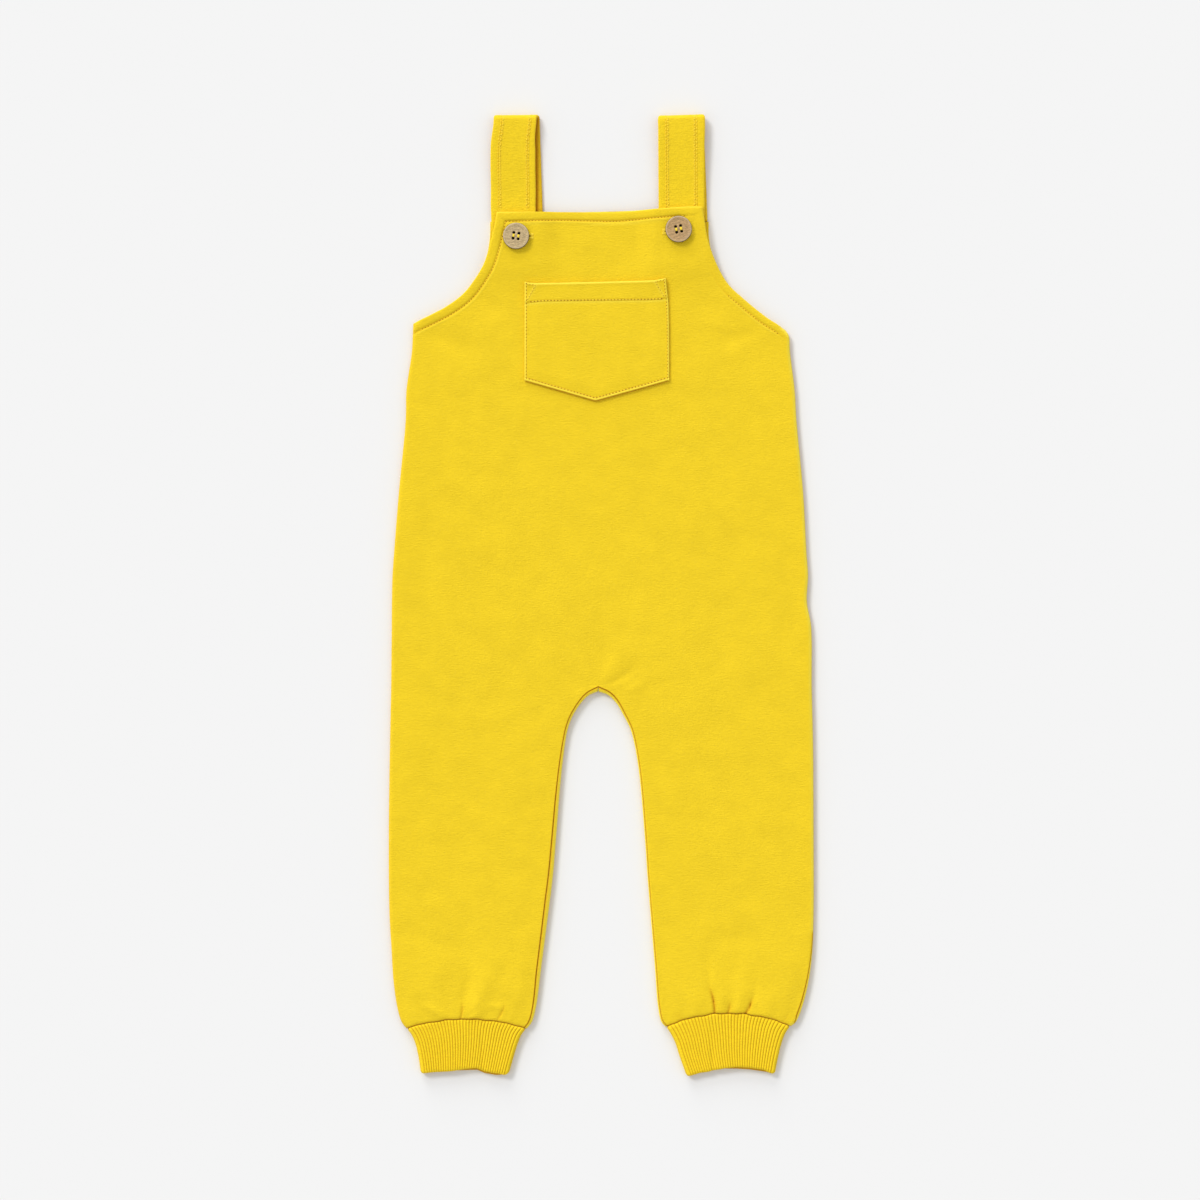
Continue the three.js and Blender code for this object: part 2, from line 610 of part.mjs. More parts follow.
// A ribbed cuff: a flattened ring of double rib knit, raised in ribs on the face that shows.
function cuff(side) {
  const { start, sides, foot } = CUFFS[side];
  const wall = new Wall();
  const seam = [LEG_ENDS[side].outer, LEG_ENDS[side].inner].sort((a, b) => a.x - b.x);
  const leftLine = smoothLine([{ x: start.left, y: seam[0].y }, ...column(sides, "left")]);
  const rightLine = smoothLine([{ x: start.right, y: seam[1].y }, ...column(sides, "right")]);
  const footLine = smoothLine(foot.map((rise, k) => ({ x: k / (foot.length - 1), y: rise / 20 })));
  const radius = CUFF_HEIGHT / 2;
  const ribPoints = 2 * RIB_COUNT + 1;
  const ringSpots = [];
  for (let k = 0; k < ribPoints; k++)
    ringSpots.push({ share: k / (ribPoints - 1), turn: 180, rib: k % 2 });
  for (const turn of [145, 90, 35]) ringSpots.push({ share: 1, turn, rib: 0 });
  for (let k = 6; k >= 0; k--) ringSpots.push({ share: k / 6, turn: 0, rib: 0 });
  for (const turn of [35, 90, 145]) ringSpots.push({ share: 0, turn, rib: 0 });

  const downShares = [0, 0.35, 0.96, 1];
  const rows = downShares.map((down, r) => {
    const left = leftLine.at(down);
    const right = rightLine.at(down);
    const bow = LEG_ENDS[side].bow * (1 - down) ** 1.3;
    const ends = r === 0 ? seam : [left, right];
    const isEnd = r === downShares.length - 1;
    const pinch = isEnd ? 0.6 : 0;
    return ringSpots.map(({ share, turn, rib }) => {
      const ribRise = turn === 180 ? RIB_HEIGHT * rib * (isEnd ? 0.3 : 1) : 0;
      const span = (ring) => {
        const inX = left.x + radius - ring * Math.sin(turn * RADIANS) * (share === 0 ? 1 : 0);
        const outX = right.x - radius + ring * Math.sin(turn * RADIANS) * (share === 1 ? 1 : 0);
        const x = share === 0 ? inX : share === 1 ? outX : mix(left.x + radius, right.x - radius, share);
        const s = clamp((x - ends[0].x) / (ends[1].x - ends[0].x));
        const short = turn === 180 ? FOOT_SHORT * ease(0.3, 0.6, s) * (1 - ease(0.86, 0.98, s)) : 0;
        const curve = (footLine.at(s).y * 20 + short) * down ** 2;
        const y = mix(ends[0].y, ends[1].y, s) + archAt(x, ends[0], ends[1], bow) + curve;
        const z = radius - ring * Math.cos(turn * RADIANS);
        return new THREE.Vector3(x, r === 0 ? y - SEAM_GAP : y, z);
      };
      const outer = span(radius - pinch);
      outer.z = turn === 0 && !isEnd ? 0 : outer.z + ribRise;
      return wall.site(outer, span(radius - CUFF_WALL + pinch));
    });
  });
  wall.grid(rows, true, true);
  return wall.geometry();
}

// A strap: one strip that lies on the table, folds over at the shoulder and comes back to the bib.
function strap({ backX, foldX, bibX, endX, tilt }) {
  const wall = new Wall();
  const low = STRAP_THICK / 2;
  const high = STRAP_FOLD_HEIGHT - STRAP_THICK / 2;
  const bend = (high - low) / 2;
  const foldY = STRAP_TOP - bend - STRAP_THICK / 2;
  const spine = [];
  const backStart = BACK_TOP + SEAM_GAP;
  for (const share of [0, 0.5, 1]) {
    spine.push({ x: mix(backX, foldX, share), y: mix(backStart, foldY - 4, share), z: low, turn: 0 });
  }
  for (const turn of [0, 36, 72, 108, 144, 180]) {
    spine.push({
      x: foldX,
      y: foldY + bend * Math.sin(turn * RADIANS),
      z: low + bend * (1 - Math.cos(turn * RADIANS)),
      turn,
    });
  }
  const under = { y: 266, z: 3.75 };
  for (const share of [0.25, 0.5, 0.75, 1]) {
    const z = mix(high, under.z, ease(0, 1, share));
    spine.push({ x: mix(foldX, bibX, share), y: mix(foldY, under.y, share), z, turn: 180 });
  }
  for (const share of [0.3, 0.6, 1]) {
    const y = mix(under.y, STRAP_END, share);
    const z = mix(CLOTH + SEAM_GAP + low, under.z, ease(244, 256, y));
    spine.push({ x: mix(bibX, endX, share), y, z, turn: 180 });
  }

  const half = STRAP_WIDTH / 2;
  const ditchAt = half - STRAP_HEM;
  const spots = [-half, -half + 0.7, -ditchAt - 0.7, -ditchAt, -ditchAt + 0.7, 0,
    ditchAt - 0.7, ditchAt, ditchAt + 0.7, half - 0.7, half];
  const rows = spine.map((place) => {
    const lift = new THREE.Vector3(
      0, -Math.sin(place.turn * RADIANS), Math.cos(place.turn * RADIANS)).negate();
    return spots.map((across) => {
      const rim = Math.abs(across) === half ? 0.45 : 0;
      const ditch = Math.abs(Math.abs(across) - ditchAt) < 0.01 ? 0.35 : 0;
      const middle = new THREE.Vector3(place.x + across, place.y + tilt * across, place.z);
      if (place.y < foldY - 1) middle.y -= tilt * across * (1 - ease(266, 320, place.y));
      const outer = middle.clone().addScaledVector(lift, low - rim - ditch);
      const inner = middle.clone().addScaledVector(lift, rim - low);
      return wall.site(outer, inner);
    });
  });
  wall.grid(rows, true);
  return wall.geometry();
}

// The patch pocket lies on the front, so its points are the front's, moved out.
function pocket() {
  const wall = new Wall();
  const across = [0, 0.012, 0.1, 0.24, 0.38, 0.5, 0.62, 0.76, 0.9, 0.988, 1];
  const { topLeft, topRight, bottomRight, bottomLeft, tip } = POCKET;
  const lowerEdge = (u) => (u < 0.5
    ? new THREE.Vector2(bottomLeft.x, bottomLeft.y).lerp(new THREE.Vector2(tip.x, tip.y), u * 2)
    : new THREE.Vector2(tip.x, tip.y).lerp(new THREE.Vector2(bottomRight.x, bottomRight.y), u * 2 - 1));
  const upperEdge = (u) => new THREE.Vector2(
    mix(topLeft.x, topRight.x, u),
    mix(topLeft.y, topRight.y, u) - POCKET.topSag * Math.min(1, 4.5 * Math.min(u, 1 - u)));
  const downs = (length) => [
    0, 0.8, POCKET.hem - 0.8, POCKET.hem, POCKET.hem + 0.8,
    mix(POCKET.hem, length, 0.3), mix(POCKET.hem, length, 0.6), mix(POCKET.hem, length, 0.85),
    length - 0.8, length];
  const rows = across[0] === 0 ? downs(1).map(() => []) : [];
  for (const u of across) {
    const from = upperEdge(u);
    const to = lowerEdge(u);
    const length = from.distanceTo(to);
    downs(length).forEach((down, r) => {
      const flat = from.clone().lerp(to, down / length);
      const base = frontHeight(flat.x, flat.y, 99) + SEAM_GAP;
      const isRim = u === 0 || u === 1 || r === 0 || r === 9;
      const inHem = 1 - ease(POCKET.hem - 0.8, POCKET.hem + 0.8, down);
      const ditch = r === 3 ? 0.5 : 0;
      const thick = mix(CLOTH, HEM, inHem) - (isRim ? 0.5 : 0) - ditch;
      rows[r].push(wall.site(
        new THREE.Vector3(flat.x, flat.y, base + thick),
        new THREE.Vector3(flat.x, flat.y, base)));
    });
  }
  wall.grid(rows, true);
  return wall.geometry();
}

const wasm = await Module();
wasm.setup();

function asSolid(geometry) {
  const bare = geometry.clone();
  bare.deleteAttribute("normal");
  bare.deleteAttribute("uv");
  const merged = mergeVertices(bare, 1e-4);
  return new wasm.Manifold(new wasm.Mesh({
    numProp: 3,
    vertProperties: merged.attributes.position.array,
    triVerts: new Uint32Array(merged.index.array),
  }));
}

// The front with its two buttonholes cut through.
function frontWithButtonholes() {
  let solid = asSolid(frontPanel());
  for (const { x, y } of BUTTONHOLES) {
    const slit = new THREE.BoxGeometry(BUTTONHOLE.length, BUTTONHOLE.width, 20);
    solid = solid.subtract(asSolid(slit.translate(x, y, 0)));
  }
  return asGeometry(solid);
}

function asGeometry(solid) {
  const mesh = solid.getMesh();
  const made = new THREE.BufferGeometry();
  made.setAttribute("position", new THREE.BufferAttribute(mesh.vertProperties, 3));
  made.setIndex(new THREE.BufferAttribute(mesh.triVerts, 1));
  made.computeVertexNormals();
  return made;
}

// A coconut-shell button: a dished disc with a rounded rim and four holes.
function button() {
  const { radius, thick, rim, dish, hole, pitch, sides } = BUTTON;
  const profile = [
    [0, 0], [radius - 0.8, 0], [radius, 0.7], [radius, thick - 0.7], [radius - 0.5, thick],
    [radius - rim, thick], [radius - rim - 0.7, thick - dish], [0, thick - dish],
  ].map(([x, y]) => new THREE.Vector2(x, y));
  let solid = asSolid(new THREE.LatheGeometry(profile, sides).rotateX(Math.PI / 2));
  for (const x of [-pitch, pitch]) {
    for (const y of [-pitch, pitch]) {
      const drill = new THREE.CylinderGeometry(hole, hole, 3 * thick, 10).rotateX(Math.PI / 2);
      solid = solid.subtract(asSolid(drill.translate(x, y, 0)));
    }
  }
  return asGeometry(solid);
}

// The outline tables are read off a picture, so the finished garment is moved on to its middle.
const MIDDLE = { x: 0.045, y: 0.415 };
const garment = new THREE.Group();
garment.position.set(-MIDDLE.x, -MIDDLE.y, 0);

function addPiece(name, geometry, color, roughness = 0.92) {
  const material = new THREE.MeshStandardMaterial({ color, roughness, metalness: 0 });
  const mesh = new THREE.Mesh(geometry, material);
  mesh.name = name;
  garment.add(mesh);
  return mesh;
}

addPiece("front_panel", frontWithButtonholes(), FLEECE);
addPiece("pocket", pocket(), FLEECE);
for (const side of ["left", "right"]) {
  addPiece(`back_panel_${side}`, backPanel(side), FLEECE);
  addPiece(`strap_${side}`, strap(STRAPS[side]), FLEECE);
  addPiece(`cuff_${side}`, cuff(side), RIB_KNIT);
  const { x, y, turn } = BUTTONS[side];
  const disc = addPiece(`button_${side}`, button(), COCONUT, 0.55);
  disc.position.set(x, y, frontHeight(x, y, 99) + SEAM_GAP);
  disc.rotation.z = turn * RADIANS;
}

export default garment;
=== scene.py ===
"""A toddler's dungarees in yellow sweatshirt fleece, laid flat on a table, front up.

The tables hold millimetres, read from the pattern: +X is the right of someone looking down at the
garment, +Y runs from the ankle cuffs to the straps and +Z is up from the table. A mesh is scaled to
metres when it is made. Every piece is a thin closed shell of cloth over the solid it stands for.
"""

import math

import bpy
import numpy as np
from bpy.props import FloatProperty, FloatVectorProperty, IntProperty, PointerProperty
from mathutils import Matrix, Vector, noise


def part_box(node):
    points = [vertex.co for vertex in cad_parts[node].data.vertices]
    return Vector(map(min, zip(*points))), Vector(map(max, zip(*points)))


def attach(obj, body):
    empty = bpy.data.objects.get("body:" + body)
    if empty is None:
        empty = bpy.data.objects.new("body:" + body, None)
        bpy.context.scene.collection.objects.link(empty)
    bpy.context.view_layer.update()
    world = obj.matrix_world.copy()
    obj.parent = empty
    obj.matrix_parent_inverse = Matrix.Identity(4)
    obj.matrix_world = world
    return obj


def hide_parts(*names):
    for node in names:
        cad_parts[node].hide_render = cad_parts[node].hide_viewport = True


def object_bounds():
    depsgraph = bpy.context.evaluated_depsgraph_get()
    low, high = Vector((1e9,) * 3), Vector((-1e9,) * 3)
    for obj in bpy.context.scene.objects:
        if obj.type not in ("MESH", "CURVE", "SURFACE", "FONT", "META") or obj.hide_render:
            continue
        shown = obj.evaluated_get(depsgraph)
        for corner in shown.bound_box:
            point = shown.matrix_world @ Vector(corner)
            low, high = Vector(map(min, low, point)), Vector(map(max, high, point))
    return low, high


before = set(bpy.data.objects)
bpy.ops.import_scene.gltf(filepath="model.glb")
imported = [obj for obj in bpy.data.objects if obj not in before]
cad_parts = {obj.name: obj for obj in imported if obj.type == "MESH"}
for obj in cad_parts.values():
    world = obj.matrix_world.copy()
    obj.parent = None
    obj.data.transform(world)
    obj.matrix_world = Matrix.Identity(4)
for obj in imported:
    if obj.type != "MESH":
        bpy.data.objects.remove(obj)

bl_info = {
    "name": "Kids Dungarees",
    "version": (1, 0, 0),
    "blender": (4, 5, 0),
    "location": "View3D > Sidebar > Dungarees",
    "description": "Sews a pair of laid-out kids dungarees round their packed frame",
    "category": "Object",
}

CAD_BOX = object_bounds()
MM = 0.001
# The tables' origin lies this far from the frame's
MIDDLE = (0.045, 0.415)


def table(columns, *rows):
    """A table with named columns: table("x y", (1, 2), (3, 4))["x"] is the array 1, 3."""
    return {name: np.array(values, float) for name, values in zip(columns.split(), zip(*rows))}


# Heights of the laid garment above the table
EDGE_HEIGHT = 5.0
EDGE_RADIUS = EDGE_HEIGHT / 2
BIB_LIFT = 2.4
LEG_PUFF = 0.9
LEG_END_DROP = 0.7
SEAM_GAP = 0.3

# Outline of the front
BIB_TOP = table(
    "x y",
    (-71, 260.9), (-48.8, 261.5), (-28.4, 261.8), (-9, 261.4), (7, 261.1), (16, 261.5),
    (32.8, 263), (53.2, 264.3), (68.6, 264.6))
ARMHOLES = {
    "left": table(
        "x y",
        (-71, 260.9), (-72.3, 253.3), (-74.4, 243.6), (-79.6, 226.3), (-85.2, 216.6),
        (-93.8, 205.6), (-105.6, 196.7), (-116, 191.2), (-127.9, 185.4)),
    "right": table(
        "x y",
        (68.6, 264.6), (70.2, 255.4), (72.6, 241.6), (79.9, 222.6), (86.6, 211.8),
        (97.9, 201.2), (111.6, 190.1), (120.2, 184.5), (125.4, 180.9)),
}
SIDES = table(
    "y left right",
    (177, -128.3, 127.7), (166, -128.9, 128.5), (140, -132.6, 131.7), (120, -133.1, 132.9),
    (70, -137.8, 137.5), (30, -141, 139.7), (14, -142.1, 140.8), (-4, -142.5, 140),
    (-20, -142.6, 142.8), (-62, -143, 143.3))
LEG_SIDES = table(
    "y left right",
    (-62, -143, 143.3), (-100, -143.8, 144.2), (-160, -144.6, 144.6), (-215, -144.2, 144.6),
    (-240, -142.8, 143.8), (-262, -141.4, 141.2), (-280, -138.8, 136.7), (-290, -135.8, 132.4))
INSEAMS = table(
    "y left right",
    (-64.9, -2, -2), (-67.8, -8.8, 5.2), (-73.4, -14.2, 10.6), (-81, -19.1, 15),
    (-90, -22.6, 19.6), (-100, -24.5, 22.4), (-120, -27, 25.7), (-165, -30.7, 29.7),
    (-190, -32.8, 31.4), (-220, -36.5, 33.8), (-250, -40.4, 36.3), (-280, -44.4, 38.7),
    (-289.8, -47.2, 40.9))
LEG_ENDS = {
    "left": {"outer": (-132.6, -294.3), "inner": (-50.6, -294.4), "bow": 6.8},
    "right": {"outer": (129, -292.8), "inner": (43.8, -293.2), "bow": 9.4},
}
# The turned hems by share along each edge: width to the stitching, depth of the stitched ditch
# (which also sets the painted shade in it and the painted highlight past it), swell between the
# two, how far the edge flares up and how much painted highlight the edge gets
HEM_COLUMNS = "share width ditch swell flare pale"
HEMS = {
    "top": table(
        HEM_COLUMNS, (0, 6.9, 0.66, 0.3, 0, 0.5), (0.3, 6.4, 0.74, 0.3, 0, 0.5),
        (0.86, 6.4, 0.74, 0.3, 0, 0.5), (0.93, 6.4, 0.15, 0.3, 0, 0.4), (1, 6.4, 0, 0.3, 0, 0.3)),
    "left": table(
        HEM_COLUMNS, (0, 6.4, 0.2, 0.3, 0, 0.2), (0.08, 7, 0.5, 0.2, 0.3, 0),
        (0.55, 6.7, 0.66, 0.2, 0.5, 0), (0.85, 6.3, 0.66, 0.2, 0.5, 0), (1, 6.2, 0.66, 0.2, 0.4, 0)),
    "right": table(
        HEM_COLUMNS, (0, 5.6, 0, 0.2, 0, 0.2), (0.4, 5.6, 0.04, 0.2, 0, 0.2),
        (0.52, 5.6, 0.14, 0.3, 0, 0.2), (0.66, 5.2, 0.5, 0.4, 0, 0.2), (0.92, 5.2, 0.66, 0.4, 0, 0.2),
        (1, 5, 0.1, 0.3, 0, 0.3)),
}
HEM_STITCH_REACH = 123.5  # either way from the middle
# The back's own upper edge, a sliver beside the bib
BACK_TOP = 254.9
BACK_HEM = 12
BACK_ARMHOLE = table("y left right", (BACK_TOP, -75.6, 73.2), (245, -75.8, 73.3), (235, -77.2, 75))
TURN = {"left": -1, "right": 1}

# How far round the rolled edge each seam lies: 90 is outermost, 180 on top, more is flat on top
SIDE_TURN = 90
RIGHT_ANKLE_TURN = 158
INSEAM_TURNS = {
    "left": table("share turn", (0, 196), (0.03, 172), (0.08, 158), (0.15, 155), (0.35, 182),
                  (0.62, 198), (0.85, 188), (1, 160)),
    "right": table("share turn", (0, 196), (0.03, 176), (0.08, 156), (0.2, 140), (0.6, 132),
                   (1, 140)),
}
ROLL_END = 215
ON_TOP = 110  # a seam that lies past this shows from above

# Folds gathered into the cuff seams, and the other creases: depth is down, negative is a ridge
CREASES = table(
    "x y to_x to_y depth width",
    # left leg, at the cuff
    (-96.2, -289, -94.6, -275, 0.8, 0.7), (-93, -274, -90.5, -247, 0.8, 4.2),
    (-71.3, -288.6, -65.2, -276.5, 0.7, 0.6), (-89.5, -288, -77, -277.5, -0.6, 2.2),
    (-77, -277.8, -62, -279.5, -0.5, 2.6), (-120.5, -277.5, -100, -287.5, -0.8, 2.6),
    (-87, -283, -77, -250, -1.1, 5.2), (-118, -289, -127, -272, 0.5, 3),
    (-104, -289, -108.5, -266, 0.45, 3.6), (-60, -291, -54, -276, 0.4, 2.6),
    (-112, -262, -106, -236, -0.35, 6), (-70, -262, -60, -240, 0.35, 5),
    # right leg, at the cuff
    (76.9, -286.4, 73.3, -265, 1.8, 0.55), (73, -267, 69.4, -240, 0.6, 3),
    (85, -285.6, 87.8, -275, 0.9, 0.8), (96.6, -286, 103, -272.5, 1.9, 0.55),
    (103.7, -274.5, 102.8, -254, 0.6, 3.2), (122.8, -291, 128, -282, 0.6, 0.9),
    (54.8, -291, 50.4, -282.6, 0.6, 0.9), (81.5, -283, 80, -262, -0.6, 3.2),
    (92, -283, 95, -262, -0.7, 3.8), (64, -287, 60, -264, -0.5, 5),
    (111, -286, 116, -264, -0.5, 5), (88, -262, 90, -232, 0.35, 5.5),
    # crotch
    (7.3, -59.1, 26.4, -43.5, 0.6, 2.6), (1.5, -58, 13, -30, -0.5, 4.6),
    (17, -66, 36, -50, -0.45, 3.6), (-2, -58, 3, 8, 0.35, 10),
    (-14, -68, -30, -50, 0.35, 4), (-6, -58, -22, -36, -0.3, 4.5),
    # below the armholes and beside the pocket
    (-117, 178, -78, 164, 1, 7), (-104, 168, -66, 150, -0.35, 7),
    (-124, 170, -96, 158, 0.35, 4), (104, 178, 74, 166, 0.5, 5.5),
    (96, 166, 62, 156, -0.3, 7), (-84, 205, -62, 190, 0.7, 5.5),
    (84, 200, 62, 194, 0.35, 4.5), (70, 186, 104, 182, -0.25, 3.5),
    (-126.5, 157, -131.5, 160, 0.7, 1.2), (-125, 151, -132, 154, -0.4, 2.4),
    (-58, 142, -34, 128, 0.35, 5), (52, 142, 26, 128, 0.3, 5),
    # down the sides and legs
    (-124, 128, -131, 134, 0.45, 3), (126, 131, 131, 136, 0.4, 2.6),
    (130, -2, 141, -8, 0.45, 3), (129, -18, 141, -24, 0.35, 3),
    (-112, 70, -122, -36, 0.4, 9), (-96, -118, -70, -150, 0.35, 9),
    (64, -110, 104, -140, 0.35, 9), (-120, -232, -78, -240, 0.45, 6),
    (74, -232, 124, -226, 0.4, 6), (-118, -206, -90, -212, -0.35, 7),
    (-40, 118, 24, 112, 0.3, 7), (30, 40, 92, 30, 0.3, 9),
    (-100, 96, -58, 90, -0.25, 6), (-84, 22, -30, 16, 0.25, 6))
# Shallow hollows on the underside, which otherwise lies flat
BACK_CREASES = table(
    "x y to_x to_y depth width",
    (-60, 170, -20, 150, 0.5, 5), (62, 174, 24, 152, 0.5, 5),
    (-30, 20, -6, -30, 0.6, 5), (32, 24, 8, -28, 0.6, 5),
    (-96, -285, -92, -262, 0.7, 2.4), (-74, -285, -70, -270, 0.6, 2.2),
    (78, -283, 74, -258, 0.7, 2.4), (98, -283, 103, -266, 0.6, 2.2),
    (-120, -100, -80, -112, 0.4, 7), (120, -90, 84, -108, 0.4, 7))

# Straps: the middle line of the two layers
STRAP_WIDTH = 31.2
STRAP_THICK = 2.2
STRAP_HEM = 5.2
STRAP_TOP = 327.2
STRAP_END = 229
STRAP_FOLD_HEIGHT = 7.0
STRAP_CORNER = 2.2
STRAP_CREASE = 306  # a crease across the left strap
STRAP_SHOWS = 262  # stitches run from here up
STRAP_UNDER_BIB = (266, 3.75)  # Y and height where a strap slips under the bib
# gap: how strong the painted shade is on the lower layer where it shows beside the upper one
STRAPS = {
    "left": {"back_x": -55.2, "fold_x": -57.5, "bib_x": -59.6, "end_x": -58.2, "tilt": 0.008,
             "lean": 1.4, "curl": 2.1, "gap": 0.95},
    "right": {"back_x": 56.8, "fold_x": 54.2, "bib_x": 54.6, "end_x": 53.4, "tilt": 0.03,
              "lean": 0, "curl": -0.7, "gap": 0.2},
}

POCKET = {
    "top_left": (-52, 213.7), "top_right": (43.8, 216.2), "bottom_right": (46.8, 146.3),
    "tip": (-3.9, 132.3), "bottom_left": (-52.1, 146.2),
}
# How far the opening hangs below a straight line between the pocket's top corners
POCKET_SAG = table("share sag", (0, 0.4), (0.03, 1), (0.078, 1.45), (0.46, 1.6), (0.92, 1.65),
                   (0.955, 1.1), (1, 0.3))
# How far in the stitching lies from the pocket's sides and from its lower edges
POCKET_STITCH = {"side": 1.15, "bottom": 2.1}
# Ends of the stitching below the pocket's opening
POCKET_HEM = table("x y", (-52, 198.6), (-48.4, 199.8), (-39, 200.6), (-7.6, 201),
                   (33.2, 201.5), (41, 202), (45.5, 203))
# How far the pocket's right edge stands out from a straight line between its corners
POCKET_BULGE = table("y out", (146, -0.5), (165, 0.1), (185, 0.8), (200, 1.1), (207, 0.5), (216, 0))

CUFF_HEIGHT = 4.9
CUFF_WALL = 2.1
FOOT_SHORT = 1.5
CUFFS = {
    "left": {
        "start": (-131.6, -51.8),
        "sides": table("y left right", (-298.5, -128.5, -55), (-304, -126, -57.3),
                       (-313, -123.8, -60.2), (-324.8, -122.1, -63.6)),
        "foot": table("share rise", (0, 0), (0.14, 1), (0.29, 1.4), (0.43, 1.8), (0.57, 2.1),
                      (0.64, 2.2), (0.68, 1.3), (0.73, 0), (0.86, -1.3), (0.95, -1.1), (1, -0.4)),
        "valley": -82,
    },
    "right": {
        "start": (44.9, 127.9),
        "sides": table("y left right", (-297.5, 47.8, 124.6), (-304, 51.1, 122.2),
                       (-313, 54.1, 119.9), (-325.6, 58.9, 117.5)),
        "foot": table("share rise", (0, -1.2), (0.14, 1.3), (0.25, 2.2), (0.3, 3.1), (0.43, 3.8),
                      (0.57, 3.8), (0.71, 3.3), (0.86, 2.1), (1, 0.6)),
        "valley": 74.5,
    },
}

# Buttons and buttonholes
BUTTONS = {
    "left": {"x": -57.8, "y": 244.3, "turn": -8},
    "right": {"x": 52.5, "y": 248.9, "turn": 11},
}
BUTTON_HOLE = 1.0
BUTTON_HOLES_X = 1.75
BUTTON_HOLES_Y = 1.9
BUTTON_HOLES = [(x, y) for x in (-BUTTON_HOLES_X, BUTTON_HOLES_X)
                for y in (-BUTTON_HOLES_Y, BUTTON_HOLES_Y)]
BUTTON_THREAD = 0.46
DISH = 0.28  # how far a button's middle lies below its rim
BUTTONHOLES = {"left": (-56.4, 244.4), "right": (51.9, 247.4)}
BUTTONHOLE_LENGTH = 20
BUTTONHOLE_SLIT = 0.7
BAR_TACK = 1.7  # sewn shut at each end of a buttonhole
EDGING_STITCH = 1.8
EDGING_WIDTH = 0.5
EDGING_OUT = 1.15  # from the slit's middle line to the middle of the edging
EDGING_COUNT = 44

# Stitches: the thread's share of the pitch, and the pitches that differ from the hems'
THREAD_SHARE = 0.72
POCKET_PITCH = 2.26
STRAP_PITCH = 2.36
ZIGZAG = {"width": 2.0, "step": 1.8, "pitch": 2.6}

# In metres: a column of the knit's relief, the table from its middle to its edges, and the
# camera, which hangs over the garment a little below its middle
STITCH_COLUMN = 0.0105
FLOOR = 15
CAMERA_PLACE = (-0.000885, -0.003115, 1.931)


def a_colour(name, description, *rgb):
    return FloatVectorProperty(
        name=name, description=description, subtype="COLOR", size=4, min=0, max=1,
        default=(*rgb, 1))


def a_length(name, description, default, low, high):
    return FloatProperty(
        name=name, description=description, default=default, min=low, max=high, unit="LENGTH",
        precision=5)


def a_share(name, description, default, high=1.0):
    return FloatProperty(
        name=name, description=description, default=default, min=0, max=high, subtype="FACTOR")


def an_angle(name, description, degrees, low=0, high=90):
    return FloatProperty(
        name=name, description=description, default=math.radians(degrees),
        min=math.radians(low), max=math.radians(high), subtype="ANGLE")


def an_amount(name, description, default, low=0, high=10):
    return FloatProperty(name=name, description=description, default=default, min=low, max=high)


class ClothSettings(bpy.types.PropertyGroup):
    """The fleece and how it is cut and laid."""

    fleece_colour: a_colour("Fleece", "Colour of the sweatshirt fleece", 0.905, 0.64, 0.016)
    # Painted light: the straps take the fleece's colour made a little lighter
    strap_lighter_colour: a_colour("Straps", "Colour of the smoother straps", 0.935, 0.66, 0.016)
    # Painted shade and painted highlight: the fold attribute blends these in where ditches, folds and
    # holes would lie in shade and where edges would catch the light
    painted_shade_colour: a_colour("Fold shade", "Colour in ditches and tight folds", 0.58, 0.235, 0.002)
    painted_highlight_colour: a_colour("Edge", "Colour where an edge's nap catches the light", 1, 0.8, 0.065)
    thickness: a_length("Cloth", "Thickness of one layer", 0.0016, 0.0008, 0.003)
    hem_thickness: a_length("Hem", "Thickness of a turned hem", 0.0023, 0.001, 0.004)
    hem_puff: a_share("Hem puff", "Swell of the hems beside the laid-out swell", 1, 2)
    crease_strength: a_share("Creases", "Depth of the creases beside the laid-out depth", 1, 1.5)
    ripple: a_length("Ripple", "Height of the laid cloth's slow unevenness", 0.0003, 0, 0.001)
    sheen: a_share("Nap", "Light that the brushed surface catches at a glance", 0.18)


class RibSettings(bpy.types.PropertyGroup):
    """The ribbed ankle cuffs."""

    rib_colour: a_colour("Rib knit", "Colour of the cuffs", 0.92, 0.65, 0.014)
    rib_height: a_length("Rib height", "Rise of a rib from its groove", 0.0007, 0.0002, 0.001)
    rib_count: IntProperty(
        name="Ribs", description="Ribs across the face that shows", default=34, min=20, max=50)


class SewingSettings(bpy.types.PropertyGroup):
    """Topstitching, buttonholes and the thread in the buttons."""

    thread_colour: a_colour("Thread", "Colour of the sewing thread", 0.96, 0.72, 0.03)
    # The needle holes' colour is painted shade
    needle_hole_shade_colour: a_colour("Needle hole", "Colour between two stitches", 0.4, 0.15, 0.002)
    stitch_pitch: a_length("Stitch", "From one needle hole to the next", 0.0022, 0.001, 0.005)
    thread_width: a_length("Thread width", "Width of a sewn thread", 0.0005, 0.0002, 0.001)


class ButtonSettings(bpy.types.PropertyGroup):
    """The coconut-shell buttons."""

    left_colour: a_colour("Left face", "Face colour of the left button", 0.5, 0.37, 0.19)
    right_colour: a_colour("Right face", "Face colour of the right button", 0.46, 0.29, 0.13)
    rim_colour: a_colour("Rim", "Colour of the pale rim", 0.62, 0.5, 0.34)
    # The rind's dark colour also covers the hole walls, as painted shade
    rind_and_hole_shade_colour: a_colour("Rind", "Colour of the dark side wall", 0.075, 0.035, 0.015)


